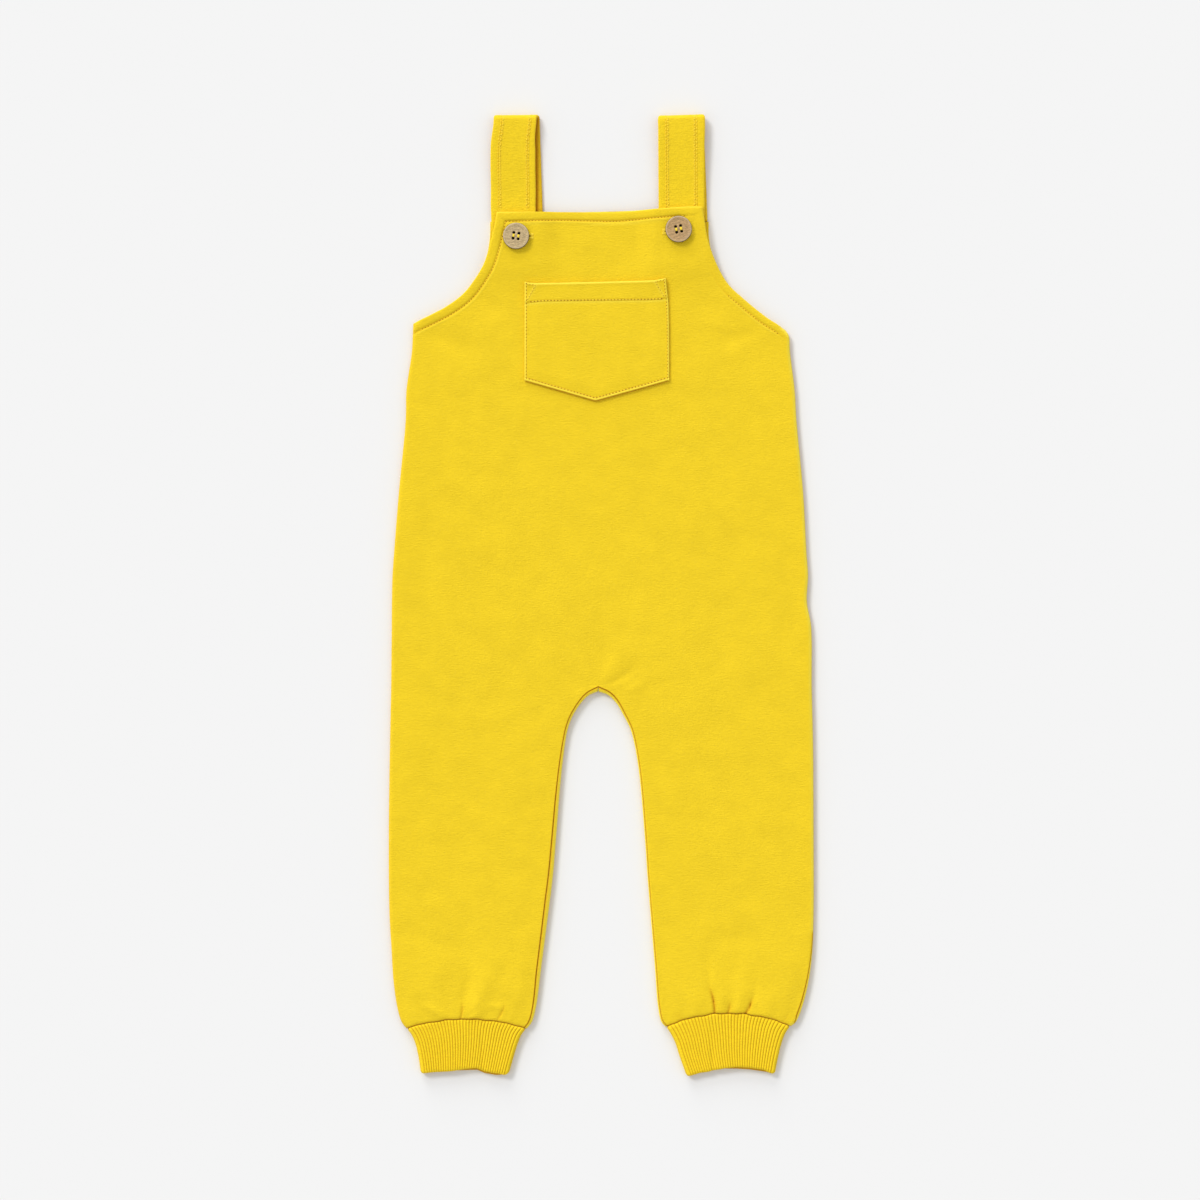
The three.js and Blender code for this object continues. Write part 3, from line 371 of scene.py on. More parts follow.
class StageSettings(bpy.types.PropertyGroup):
    """The floor, the lights and the camera."""

    floor_colour: a_colour("Floor", "Colour of the table top", 0.84, 0.84, 0.84)
    key_strength: an_amount("Key light", "Strength of the light from the upper left", 1.4)
    key_elevation: an_angle("Key height", "Angle above the table", 38, 5)
    key_azimuth: an_angle("Key side", "Angle round from the garment's right", 133, 0, 360)
    key_softness: an_angle("Key softness", "Angle that the key light fills", 17)
    rake_strength: an_amount("Raking light", "Strength of the low light above the straps", 1.2)
    rake_elevation: an_angle("Raking height", "Angle above the table", 17, 5)
    rake_azimuth: an_angle("Raking side", "Angle round from the garment's right", 106, 0, 360)
    rake_softness: an_angle("Raking softness", "Angle that the raking light fills", 28)
    fill_strength: an_amount("Fill", "Strength of the even light from all round", 0.7, 0, 3)
    lens: an_amount("Lens", "Focal length in millimetres on a 36 mm frame", 85, 20, 200)


# Sums that every piece uses


def mix(a, b, t):
    return a + (b - a) * t


def ease(start, end, value):
    t = np.clip((np.asarray(value, float) - start) / (end - start), 0, 1)
    return t * t * (3 - 2 * t)


def bell(value, width):
    return np.exp(-((value / width) ** 2))


def unit(ways):
    return ways / np.linalg.norm(ways, axis=-1, keepdims=True)


def even_shares(count):
    return np.arange(1, count + 1) / (count + 1)


def steps(*spans):
    """Numbers from one end of each span up to the next: steps((0, 1, 4), (1, 9, 2))."""
    parts = [np.linspace(start, end, count, endpoint=False) for start, end, count in spans]
    return np.concatenate([*parts, [spans[-1][1]]])


def roughness_of_lay(x, y, size, seed):
    """Smooth unevenness from -1 to 1, with hills about size apart, the same each run."""
    spots = zip(np.ravel(x) / size, np.ravel(y) / size)
    values = [noise.noise((a, b, seed)) for a, b in spots]
    return np.array(values).reshape(np.shape(x))


class Line:
    """A smooth line through a table's points, asked by its share of the whole length."""

    STEPS = 60

    def __init__(self, points):
        p = np.array(points, float)
        p = np.vstack([2 * p[0] - p[1], p, 2 * p[-1] - p[-2]])
        gaps = np.linalg.norm(np.diff(p, axis=0), axis=1) ** 0.5
        t = np.linspace(0, 1, self.STEPS, endpoint=False)[:, None]
        spans = []
        for k in range(1, len(p) - 2):
            before, here, after = gaps[k - 1:k + 2]
            a, b, c, d = p[k - 1:k + 3]
            leave = ((b - a) / before - (c - a) / (before + here) + (c - b) / here) * here
            arrive = ((c - b) / here - (d - b) / (here + after) + (d - c) / after) * here
            spans.append(
                b + leave * t + (3 * (c - b) - 2 * leave - arrive) * t**2
                + (2 * (b - c) + leave + arrive) * t**3)
        self.points = np.vstack([*spans, p[-2]])
        run = np.linalg.norm(np.diff(self.points, axis=0), axis=1)
        self.run = np.concatenate([[0], np.cumsum(run)])
        self.length = self.run[-1]

    def at(self, share):
        reach = np.clip(share, 0, 1) * self.length
        return np.stack([np.interp(reach, self.run, self.points[:, k]) for k in (0, 1)], -1)

    def along(self, share):
        nudge = 0.5 / self.length
        ahead = np.minimum(np.asarray(share) + nudge, 1)
        behind = np.maximum(np.asarray(share) - nudge, 0)
        return unit(self.at(ahead) - self.at(behind))

    def outward(self, share, turn):
        """Unit vectors out of the cloth, for cloth on the right (1) or the left (-1) of the line."""
        way = self.along(share)
        return np.stack([-way[..., 1] * turn, way[..., 0] * turn], -1)

    def stretched(self, extra):
        """The line's points, run on straight past its end."""
        way = self.along(1.0)
        beyond = self.at(1.0) + way * np.linspace(0.3, extra, 40)[:, None]
        return np.vstack([self.points, beyond])


def column(rows, side="x"):
    return np.column_stack([rows[side], rows["y"]])


class Half:
    """The edges of one half of the garment, each running down from the bib to the cuff."""

    def __init__(self, side):
        armhole = column(ARMHOLES[side])
        self.side = side
        self.turn = TURN[side]
        self.end = LEG_ENDS[side]
        self.armhole = Line(armhole)
        self.back_armhole = Line(np.vstack([column(BACK_ARMHOLE, side), armhole[3:]]))
        self.trunk = Line(np.vstack([armhole[-1:], column(SIDES, side)]))
        self.outer = Line(np.vstack([column(LEG_SIDES, side), [self.end["outer"]]]))
        self.inner = Line(np.vstack([column(INSEAMS, side), [self.end["inner"]]]))


HALVES = {side: Half(side) for side in TURN}
BIB_LINE = Line(column(BIB_TOP))

# Where sharp creases meet the cuffs, as shares of a leg's row from its side seam
GATHERS = {"left": (0.42, 0.81), "right": (0.27, 0.47, 0.62)}

# How close the fine sites lie, as shares of the lengths that the front and the back share
ARMHOLE_ROWS = steps((0, 8, 18), (8, 90, 36), (90, 105.6, 16)) / 105.6
TRUNK_ROWS = steps((0, 0.056, 18), (0.056, 1, 84))
LEG_ROWS = steps((0, 0.03, 6), (0.03, 0.86, 64), (0.86, 1, 34))
ROLL_SHARES = np.linspace(0, 1, 8)
FREE_OFFSETS = np.array([0, 0.25, 0.6, 1.1, 1.8, 2.6, 3.4, 4.03])
SKIN_OFFSETS = np.array([4.7, 5.3, 5.7, 6.0, 6.2, 6.4, 6.8, 7.2, 8.0])
FRONT_COLUMNS = 60
BACK_COLUMNS = 30
CORNER_REACH = 18  # how far from the armhole's corner the rows fan out round it
SETTLE = 14  # from a sewn edge to where the cloth lies at its own height
GAP_TURN = math.degrees(SEAM_GAP / 2 / EDGE_RADIUS)


class Rows:
    """The ends of a run of rows at a garment edge: points, the way in, sewn share, seam turn."""

    def __init__(self, points, inward, sewn, turn):
        self.points, self.inward = points, inward
        self.sewn = np.broadcast_to(np.asarray(sewn, float), len(points))
        self.turn = np.broadcast_to(np.asarray(turn, float), len(points))

    def place(self, offsets):
        offsets = np.broadcast_to(offsets, (len(self.points), np.shape(offsets)[-1]))
        return self.points[:, None] + self.inward[:, None] * offsets[..., None]

    def joined(self, other):
        return Rows(*(
            np.concatenate([getattr(self, name), getattr(other, name)])
            for name in ("points", "inward", "sewn", "turn")))


def trunk_rows(half, back=False):
    """Row ends down the armhole and the side, fanned round the corner between them."""
    hem = half.back_armhole if back else half.armhole
    above, below = hem.outward(1.0, half.turn), half.trunk.outward(0.0, half.turn)
    corner = (above + below) / (1 + above @ below)
    out = hem.outward(ARMHOLE_ROWS, half.turn)
    out = mix(out, np.array([half.turn, 0]), 1 - ease(0.06, 0.2, ARMHOLE_ROWS)[:, None])
    to_corner = (1 - ARMHOLE_ROWS) * hem.length
    out = mix(out, corner, 1 - ease(0, CORNER_REACH, to_corner)[:, None])
    upper = Rows(hem.at(ARMHOLE_ROWS), -out, 1 - ease(0, 6, to_corner), SIDE_TURN)
    shares = TRUNK_ROWS[1:]
    out = half.trunk.outward(shares, half.turn)
    out = mix(out, corner, 1 - ease(0, CORNER_REACH, shares * half.trunk.length)[:, None])
    return upper.joined(Rows(half.trunk.at(shares), -out, 1, SIDE_TURN))


def leg_rows(half, shares=LEG_ROWS):
    """Row ends down a leg. Towards the cuff the way in turns along the row."""
    outer, inner = half.outer.at(shares), half.inner.at(shares)
    along = unit(inner - outer)
    turned = ease(0.955, 1, shares)[:, None]
    outer_out = mix(half.outer.outward(shares, half.turn), -along, turned)
    inner_out = mix(half.inner.outward(shares, -half.turn), along, turned)
    inner_out = mix(np.array([0, -1.0]), inner_out, ease(0, 0.03, shares)[:, None])
    seams = INSEAM_TURNS[half.side]
    inner_turn = np.interp(shares, seams["share"], seams["turn"])
    ankle = 0 if half.side == "left" else ease(0.6, 0.92, shares) * (1 - ease(0.96, 1, shares))
    return (
        Rows(outer, -outer_out, 1, mix(SIDE_TURN, RIGHT_ANKLE_TURN, ankle)),
        Rows(inner, -inner_out, 1, inner_turn))


def rolled(turn, radius):
    """Offset in from the edge and height of a skin by its turn; past 180 it lies flat on top."""
    angle = np.radians(np.minimum(turn, 180))
    past = np.radians(np.maximum(turn - 180, 0)) * EDGE_RADIUS
    return (EDGE_RADIUS - radius * np.sin(angle) + past, EDGE_RADIUS - radius * np.cos(angle))


def arch_at(x, start, end, bow):
    """Rise of the cuff seam above its ends: an arch, a little puckered."""
    share = np.clip((x - start[..., 0]) / (end[..., 0] - start[..., 0]), 0, 1)
    pucker = 0.2 * np.sin(x / 2.9) + 0.16 * np.sin(x / 1.7 + 1)
    return bow * ((4 * share * (1 - share)) ** 0.9 + pucker * ease(0, 0.1, share * (1 - share)) / 8)


def arched(points, half, outer, inner):
    """Moves leg points between two runs of rows on to the arch of the cuff seam."""
    bow = half.end["bow"] * ease(0.7, 1, LEG_ROWS) ** 1.5
    rise = arch_at(points[..., 0], outer.points[:, None], inner.points[:, None], bow[:, None])
    return points + np.stack([np.zeros_like(rise), rise], -1)


# Heights of the laid cloth


FAR = 99.0  # beyond any hem
RIM_LOW = 160  # no free edge or hem reaches below this
SHARP = 1.5  # a crease narrower than this is a fold with a sharp bottom


def crease_depth(creases, x, y, sharp_only=False):
    """How far a table of creases pulls the cloth down, each tapering at both ends."""
    depth = np.zeros(np.shape(x))
    for from_x, from_y, to_x, to_y, deep, width in zip(*creases.values()):
        dx, dy = to_x - from_x, to_y - from_y
        length = math.hypot(dx, dy)
        along = ((x - from_x) * dx + (y - from_y) * dy) / length
        across = ((x - from_x) * dy - (y - from_y) * dx) / length
        bend = 0.06 * length * np.sin(np.pi * np.clip(along / length, 0, 1))
        reach = (1 - ease(0.45, 1.1, along / length)) * ease(-0.2, 0.2, along / length)
        spread = width * mix(0.8, 1.3, ease(0, length, along))
        if width < SHARP:
            depth += deep * reach * np.exp(-np.abs(across - bend) / spread)
        elif not sharp_only:
            depth += deep * reach * bell(across - bend, spread)
    return depth


def bib_lift(x, y):
    """How far the strap ends below lift the bib."""
    half = STRAP_WIDTH / 2
    spread = np.zeros(np.shape(x))
    for strap in STRAPS.values():
        spread = np.maximum(spread, 1 - ease(half + 1, half + 17, np.abs(x - strap["bib_x"])))
    grow = mix(1.8, BIB_LIFT, ease(STRAP_END, 252, y))
    return spread * ease(STRAP_END - 26, STRAP_END - 2, y) * grow


def rim_samples():
    """Spots along the free edges, each with the hem that it has there."""
    spots, hems = [], {name: [] for name in HEM_COLUMNS.split()[1:]}
    edges = {"top": BIB_LINE, **{side: half.armhole for side, half in HALVES.items()}}
    for name, line in edges.items():
        points = line.points if name == "top" else line.stretched(14)
        beyond = np.full(len(points) - len(line.run), line.length)
        share = np.append(line.run, beyond) / line.length
        spots.append(points)
        for kind in hems:
            hems[kind].append(np.interp(share, HEMS[name]["share"], HEMS[name][kind]))
    return np.vstack(spots), {kind: np.concatenate(parts) for kind, parts in hems.items()}


RIM_SPOTS, RIM_HEMS = rim_samples()


class Rim:
    """Distance to the front's free edges, and the hem at the nearest spot of them."""

    def __init__(self, points):
        spots = points.reshape(-1, 2)
        distance, nearest = np.full(len(spots), FAR), np.zeros(len(spots), int)
        near = np.flatnonzero(spots[:, 1] > RIM_LOW)
        for part in np.array_split(near, max(1, len(near) // 1500)):
            gaps = ((spots[part, None] - RIM_SPOTS) ** 2).sum(-1)
            nearest[part], distance[part] = gaps.argmin(1), np.sqrt(gaps.min(1))
        self.distance = distance.reshape(points.shape[:-1])
        for name, values in RIM_HEMS.items():
            setattr(self, name, values[nearest].reshape(self.distance.shape) * (self.distance < FAR))

    def shade(self):
        """Painted shade in the stitched ditch, and painted highlight on the lip past it and along the
        edge.
        """
        past = self.distance - self.width
        ditch = self.ditch * (0.75 * bell(past, 0.45) - 0.55 * bell(past - 1.25, 0.5))
        return ditch - self.pale * bell(self.distance - 0.2, 0.8)


def front_shape(x, y, strength, ripple):
    """The laid front's own ups and downs, away from its edges."""
    legs = LEG_PUFF * ease(-225, -268, y)
    buttons = 1.0
    for button in BUTTONS.values():
        buttons = buttons * ease(9, 16, np.hypot(x - button["x"], y - button["y"]))
    waves = roughness_of_lay(x, y, 26, 3.7) + 0.55 * roughness_of_lay(x, y, 11, 8.1)
    return legs - strength * crease_depth(CREASES, x, y) + ripple * waves * buttons


class Front:
    """Heights of the front's two skins anywhere on it."""

    def __init__(self, cloth):
        self.thick = cloth.thickness / MM
        self.hem_thick = cloth.hem_thickness / MM
        self.puff = cloth.hem_puff
        self.strength = cloth.crease_strength
        self.ripple = cloth.ripple / MM

    def level(self, points, settle=1.0):
        x, y = points[..., 0], points[..., 1]
        shape = front_shape(x, y, self.strength, self.ripple)
        return EDGE_HEIGHT + bib_lift(x, y) + settle * shape

    def top(self, points, settle=1.0, rim=None):
        rim = rim or Rim(points)
        half = np.maximum(rim.width, 1) / 2
        swell = self.puff * rim.swell * np.clip(1 - ((rim.distance - half) / half) ** 2, 0, 1)
        flare = rim.flare * np.clip(1 - rim.distance / (2 * half), 0, 1)
        past = rim.distance - rim.width
        ditch = rim.ditch * np.where(past < 0, bell(past, 0.75), bell(past, 0.5))
        lip = 0.3 * rim.ditch * bell(past - 1.1, 0.6)
        return (self.level(points, settle) + swell + flare + lip - ditch
                - rounded(rim.distance, 1.0))

    def under(self, points, settle, rim):
        thick = mix(self.thick, self.hem_thick, 1 - ease(5.2, 6.8, rim.distance))
        return self.level(points, settle) - thick + 0.6 * rounded(rim.distance, 1.0)


def rounded(distance, radius):
    """How far a rounded edge falls away, at a distance in from it."""
    t = 1 - np.clip(distance / radius, 0, 1)
    return radius * (1 - np.sqrt(np.maximum(1 - 0.96 * t * t, 0)))


# Making meshes


# Painted shade blended in by the fold attribute: per millimetre of depth in sharp creases, and on
# skins that lie face down on another, which also darkens the lower side of every edge
CREASE_PAINTED_SHADE = 0.65  # fold shade in a sharp crease, for each millimetre of its depth
UNDERSIDE_SHADE = 0.7  # fold shade of a skin that lies face down on another


class Shell:
    """A closed wall of cloth from paired grids of upper and lower points, joined where they meet."""

    def __init__(self):
        self.upper, self.lower, self.quads, self.shade, self.under = [], [], [], [], []
        self.count = 0

    def grid(self, upper, lower, shade, under, closed=False):
        """Rows read downwards and columns left to right, so that the upper skin faces up."""
        rows, columns = upper.shape[:2]
        index = np.arange(rows * columns).reshape(rows, columns) + self.count
        right = np.roll(index, -1, axis=1)
        last = columns if closed else columns - 1
        quads = np.stack(
            [index[:-1, :last], index[1:, :last], right[1:, :last], right[:-1, :last]], -1)
        self.quads.append(quads.reshape(-1, 4))
        self.upper.append(upper.reshape(-1, 3))
        self.lower.append(lower.reshape(-1, 3))
        for skin, given in ((self.shade, shade), (self.under, under)):
            skin.append(np.broadcast_to(given, (rows, columns)).ravel())
        self.count += rows * columns

    def mesh(self, name):
        upper, lower = np.vstack(self.upper), np.vstack(self.lower)
        _, first, welded = np.unique(
            np.round(upper, 3), axis=0, return_index=True, return_inverse=True)
        welded = welded.ravel()
        quads = welded[np.vstack(self.quads)]
        upper, lower = upper[first], lower[first]
        shade = np.concatenate([np.concatenate(self.shade)[first], np.concatenate(self.under)[first]])
        count = len(upper)
        edges = np.concatenate([quads[:, [k, (k + 1) % 4]] for k in range(4)])
        code = edges[:, 0] * count + edges[:, 1]
        back = edges[:, 1] * count + edges[:, 0]
        p, q = edges[~np.isin(code, back)].T
        rim = np.stack([q, p, p + count, q + count], -1)
        faces = np.vstack([quads, quads[:, ::-1] + count, rim]).tolist()
        made = mesh_from(
            name, np.vstack([upper, lower]), [list(dict.fromkeys(face)) for face in faces])
        made.shade_smooth()
        # The fold attribute: painted shade where it is positive, painted highlight where it is
        # negative
        painted_light = made.attributes.new("fold", "FLOAT", "POINT")
        painted_light.data.foreach_set("value", shade.astype(np.float32))
        made.validate()
        return made


def hung(name, data):
    """A new object in the scene."""
    made = bpy.data.objects.new(name, data)
    bpy.context.scene.collection.objects.link(made)
    return made


def mesh_from(name, points, faces, middle=(*MIDDLE, 0)):
    """A mesh in metres from points in millimetres."""
    made = bpy.data.meshes.new(name)
    made.from_pydata(((points - np.array(middle)) * MM).tolist(), [], faces)
    return made


def declared(piece, slot, *replaced):
    """Hangs a piece on the root and hides the solids it stands for; slot, what it is made of, is not
    used.
    """
    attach(piece, "root")
    if replaced:
        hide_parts(*replaced)
    return piece


def add_piece(name, mesh, slot, *replaced, finishes=()):
    """Hangs a finished mesh in the scene as a piece of the garment."""
    for finish in finishes:
        mesh.materials.append(finish)
    return declared(hung(name, mesh), slot, *replaced)


def cut(piece, cutter):
    """Takes a cutter's shape out of a piece and removes the cutter."""
    knife = piece.modifiers.new("Cut", "BOOLEAN")
    knife.object, knife.operation, knife.solver = cutter, "DIFFERENCE", "EXACT"
    bpy.context.view_layer.update()
    made = bpy.data.meshes.new_from_object(
        piece.evaluated_get(bpy.context.evaluated_depsgraph_get()))
    piece.modifiers.clear()
    piece.data = made
    bpy.data.objects.remove(cutter)


def with_height(points, height):
    return np.concatenate([points, height[..., None]], -1)


# The front


def front_skins(front, sites, sewn):
    """Both skins at paired points; a sewn edge rolls down from the flat by the drops."""
    settle = ease(EDGE_RADIUS, SETTLE, mix(SETTLE, sites["offset"], sewn))
    outer, inner = sites["outer"], sites["inner"]
    rim = Rim(outer)
    upper = front.top(outer, settle, rim) - sewn * sites["drop_outer"]
    lower = front.under(inner, settle, Rim(inner)) - sewn * sites["drop_inner"]
    # Painted shade in sharp creases, added to the rim's painted shade and highlight and the seam's
    creases = crease_depth(CREASES, outer[..., 0], outer[..., 1], sharp_only=True)
    shade = rim.shade() + CREASE_PAINTED_SHADE * front.strength * settle * creases
    return with_height(outer, upper), with_height(inner, lower), shade + sites["seam"]


def front_edge(rows, thick):
    """The sites across a rolled or hemmed edge: outer and inner points, offsets and drops."""
    turns = mix(rows.turn[:, None] + GAP_TURN, ROLL_END, ROLL_SHARES)
    skin, lining = rolled(turns, EDGE_RADIUS), rolled(turns, EDGE_RADIUS - thick)
    sewn = rows.sewn[:, None]
    rolls = mix(FREE_OFFSETS, skin[0], sewn)
    inner_rolls = mix(FREE_OFFSETS, lining[0], sewn)
    flat = np.broadcast_to(SKIN_OFFSETS, (len(rolls), len(SKIN_OFFSETS)))
    none = np.zeros_like(flat)
    # Painted shade along a seam that lies on top; on the sides the rolled edge gets painted highlight
    # where it faces right and a little painted shade where it faces left
    on_top = rows.turn[:, None] > ON_TOP
    seam = 1.2 * bell(skin[0] - skin[0][:, :1], 0.4) * on_top
    pale = np.where(rows.inward[:, :1] < 0, 1.0, -0.12) * ~on_top
    seam = sewn * (seam - pale * bell(turns - 135, 30))
    return {
        "seam": np.hstack([seam, none]),
        "outer": rows.place(np.hstack([rolls, flat])),
        "inner": rows.place(np.hstack([inner_rolls, flat])),
        "offset": np.hstack([rolls, flat]),
        "drop_outer": np.hstack([EDGE_HEIGHT - skin[1], none]),
        "drop_inner": np.hstack([EDGE_HEIGHT - thick - lining[1], none]),
    }


def widened(edge, across, inset, far=None):
    """The sites of an edge, run on over the flat and on to a far edge's sites."""
    none = np.zeros(inset.shape)
    flat = {"outer": across, "inner": across, "offset": inset, "seam": none,
            "drop_outer": none, "drop_inner": none}
    return {
        name: np.concatenate([edge[name], middle, *([far[name]] if far else [])], 1)
        for name, middle in flat.items()}


def bib_bend(x, depth):
    """Rows near the bib's top edge follow its rise and fall."""
    first, last = BIB_LINE.at(0.0), BIB_LINE.at(1.0)
    share = np.clip((x - first[0]) / (last[0] - first[0]), 0, 1)
    over = np.interp(x, BIB_LINE.points[:, 0], BIB_LINE.points[:, 1]) - mix(first[1], last[1], share)
    return over * (1 - ease(0, 60, depth))


def trunk_middle(left, right, progress, rise):
    """The rows' middles, running down to a spot that lies rise above the crotch."""
    crotch = np.array([INSEAMS["left"][0], INSEAMS["y"][0] + rise])
    centre = (left + right) / 2
    return np.stack([
        mix(centre[:, 0], crotch[0], progress), mix(centre[:, 1], crotch[1], progress**6)], -1)


def front_trunk(front):
    """Grids of the bib and the body, each from a side's edge in to the middle."""
    rows = {side: trunk_rows(half) for side, half in HALVES.items()}
    edges = {side: front_edge(row, front.thick) for side, row in rows.items()}
    reach = {side: edge["outer"][:, -1] for side, edge in edges.items()}
    run = np.linspace(0, 1, len(reach["left"]))
    rise = float(rolled(ROLL_END, EDGE_RADIUS)[0])
    middle = trunk_middle(reach["left"], reach["right"], ease(0.15, 1, run), rise)
    depth = BIB_LINE.at(0.0)[1] - rows["left"].points[:, 1]
    middle[:, 1] += bib_bend(middle[:, 0], depth)
    shares = np.append(even_shares(FRONT_COLUMNS), 1)
    halves = {}
    for side, edge in edges.items():
        across = mix(reach[side][:, None], middle[:, None], shares[:, None])
        across[..., 1] += bib_bend(across[..., 0], depth[:, None]) * (1 - shares)
        inset = SKIN_OFFSETS[-1] + np.abs(across[..., 0] - reach[side][:, :1])
        halves[side] = front_skins(front, widened(edge, across, inset), rows[side].sewn[:, None])
    return halves


def front_leg(front, half):
    """Grid of one front leg, from its side seam across to its inseam."""
    rows = leg_rows(half)
    edge, roll = (front_edge(row, front.thick) for row in rows)
    roll = {name: part[:, :len(ROLL_SHARES)][:, ::-1] for name, part in roll.items()}
    start, end = edge["outer"][:, -1:], roll["outer"][:, :1]
    across = mix(start, end, gathered_shares(half)[..., None])
    inset = np.minimum(
        SKIN_OFFSETS[-1] + np.linalg.norm(across - start, axis=-1),
        roll["offset"][:, :1] + np.linalg.norm(across - end, axis=-1))
    sites = widened(edge, across, inset, roll)
    for name in ("outer", "inner"):
        sites[name] = arched(sites[name], half, *rows)
    upper, lower, shade = front_skins(front, sites, 1)
    dip_leg_end(upper)
    dip_leg_end(lower)
    # Painted shade along the last rows, where the leg turns down into the cuff seam
    return upper, lower, shade + 0.8 * ease(0.995, 1, LEG_ROWS)[:, None]


def dip_leg_end(grid):
    """Turns the last leg rows down into the cuff seam."""
    dip = LEG_END_DROP * (1 - np.sqrt(1 - ease(0.99, 1, LEG_ROWS) ** 2 * 0.99))[:, None]
    grid[..., 2] -= dip * np.clip((grid[..., 2] - EDGE_RADIUS) / EDGE_RADIUS, 0, 1.2)


def gathered_shares(half):
    """Column shares by leg row: even, then drawn towards the sharp creases at the cuff."""
    fine = np.linspace(0, 1, 400)
    run = np.cumsum(1 + sum(2.5 * bell(fine - at, 0.045) for at in GATHERS[half.side]))
    even = even_shares(FRONT_COLUMNS)
    close = np.interp(even, (run - run[0]) / (run[-1] - run[0]), fine)
    return mix(even, close, ease(0.7, 0.9, LEG_ROWS)[:, None])


def across_flip(grid, half):
    """Turns a right half's columns round, so that they run left to right too."""
    return grid if half.side == "left" else grid[:, ::-1]


def front_mesh(front):
    shell = Shell()
    trunk = front_trunk(front)
    shell.grid(*(np.concatenate([left, right[:, :-1][:, ::-1]], 1)
                 for left, right in zip(trunk["left"], trunk["right"])), under=UNDERSIDE_SHADE)
    for half in HALVES.values():
        parts = []
        for top, leg in zip(trunk[half.side], front_leg(front, half)):
            first = np.concatenate([top[-1], leg[0][1 - len(ROLL_SHARES):]])
            parts.append(across_flip(np.concatenate([first[None], leg[1:]]), half))
        shell.grid(*parts, under=UNDERSIDE_SHADE)
    return shell.mesh("front")


def cut_buttonholes(piece):
    """Cuts the two slits through the front."""
    for x, y in BUTTONHOLES.values():
        bpy.ops.mesh.primitive_cube_add(size=1)
        cutter = bpy.context.object
        cutter.location = ((x - MIDDLE[0]) * MM, (y - MIDDLE[1]) * MM, 6 * MM)
        cutter.scale = ((BUTTONHOLE_LENGTH - 2 * BAR_TACK) * MM, BUTTONHOLE_SLIT * MM, 16 * MM)
        cut(piece, cutter)


class DUNGAREES_OT_front(bpy.types.Operator):
    """Lays the front: the bib and both front legs in one piece, with turned hems"""

    bl_idname = "dungarees.front"
    bl_label = "Front"

    def execute(self, context):
        cloth = context.scene.dungarees_cloth
        piece = add_piece(
            "front_cloth", front_mesh(Front(cloth)), "fleece", "front_panel",
            finishes=[fleece(cloth)])
        cut_buttonholes(piece)
        return {"FINISHED"}


# The back


def back_edge(rows, thick):
    """Sites across the back's rolled or free edge: the outer skin lies on the table."""
    turns = mix(rows.turn[:, None] - GAP_TURN, 0, ROLL_SHARES)
    skin, lining = rolled(turns, EDGE_RADIUS), rolled(turns, EDGE_RADIUS - thick)
    sewn = rows.sewn[:, None]
    fall = rounded(FREE_OFFSETS, 0.7)
    upper = with_height(
        rows.place(mix(FREE_OFFSETS, lining[0], sewn)), mix(thick - fall, lining[1], sewn))
    lower = with_height(rows.place(mix(FREE_OFFSETS, skin[0], sewn)), mix(fall, skin[1], sewn))
    # Painted shade at the seam and on the roll's lower half, and painted highlight on the roll where
    # it shows beside an inseam
    shade = 0.9 * bell(turns - turns[:, :1], 6)
    shade = shade - 1.2 * bell(turns - 116, 34) * (rows.turn[:, None] > 100)
    shade = shade + 0.9 * (1 - ease(50, 88, turns))
    return upper, lower, sewn * shade


def back_mesh(half, thick, strength):
    rows = {side: trunk_rows(each, back=True) for side, each in HALVES.items()}
    own = rows[half.side]
    inset = EDGE_RADIUS + 2
    ends = {side: row.place([inset]) for side, row in rows.items()}
    run = np.linspace(0, 1, len(own.points))
    middle = trunk_middle(ends["left"][:, 0], ends["right"][:, 0], ease(0.1, 1, run), inset)
    middle[:, 0] += half.turn * SEAM_GAP / 2
    shares = np.append(even_shares(BACK_COLUMNS), 1)
    across = mix(ends[half.side], middle[:, None], shares[:, None])
    fall = rounded(BACK_TOP - across[..., 1], 0.7)
    tuck = rounded(half.turn * (across[..., 0] - middle[:, :1]), 0.9) * 0.8
    none = np.zeros(fall.shape)
    flat = with_height(across, thick - fall - tuck * 0.3), with_height(across, fall + tuck), none
    trunk = [np.concatenate(parts, 1) for parts in zip(back_edge(own, thick), flat)]

    rows = leg_rows(half)
    start, end = (row.place([inset]) for row in rows)
    across = mix(start, end, np.linspace(0, 1, BACK_COLUMNS + 2)[:, None])[:, 1:]
    none = np.zeros(across.shape[:2])
    flat = with_height(across, none + thick), with_height(across, none), none
    edge, roll = (back_edge(row, thick) for row in rows)
    leg = [np.concatenate([a, b, c[:, ::-1]], 1) for a, b, c in zip(edge, flat, roll)]
    for k in (0, 1):
        leg[k][..., :2] = arched(leg[k][..., :2], half, *rows)
        dip_leg_end(leg[k])
        apex = leg[k][0][-len(ROLL_SHARES):] + np.array([half.turn * SEAM_GAP / 2, 0, 0])
        leg[k] = np.concatenate([np.concatenate([trunk[k][-1], apex])[None], leg[k][1:]])

    shell = Shell()
    # Painted shade on the inner face, which lies under the front, but not at the free edges beside
    # the bib
    hidden = [np.full(part[2].shape, UNDERSIDE_SHADE) for part in (trunk, leg)]
    hidden[0][:, :len(ROLL_SHARES)] *= own.sewn[:, None]
    for (upper, lower, shade), inside in zip((trunk, leg), hidden):
        lower[..., 2] += underside(*np.moveaxis(lower, -1, 0), strength)
        shell.grid(*(across_flip(part, half) for part in (upper, lower, inside, shade)))
    return shell.mesh("back_" + half.side)


def underside(x, y, z, strength):
    """Stitched lines and shallow hollows where the back lies on the table."""
    ditch = 0.35 * bell(np.abs(BACK_TOP - y) - BACK_HEM, 0.8)
    return (1 - ease(0.05, 0.5, z)) * (ditch + strength * crease_depth(BACK_CREASES, x, y))


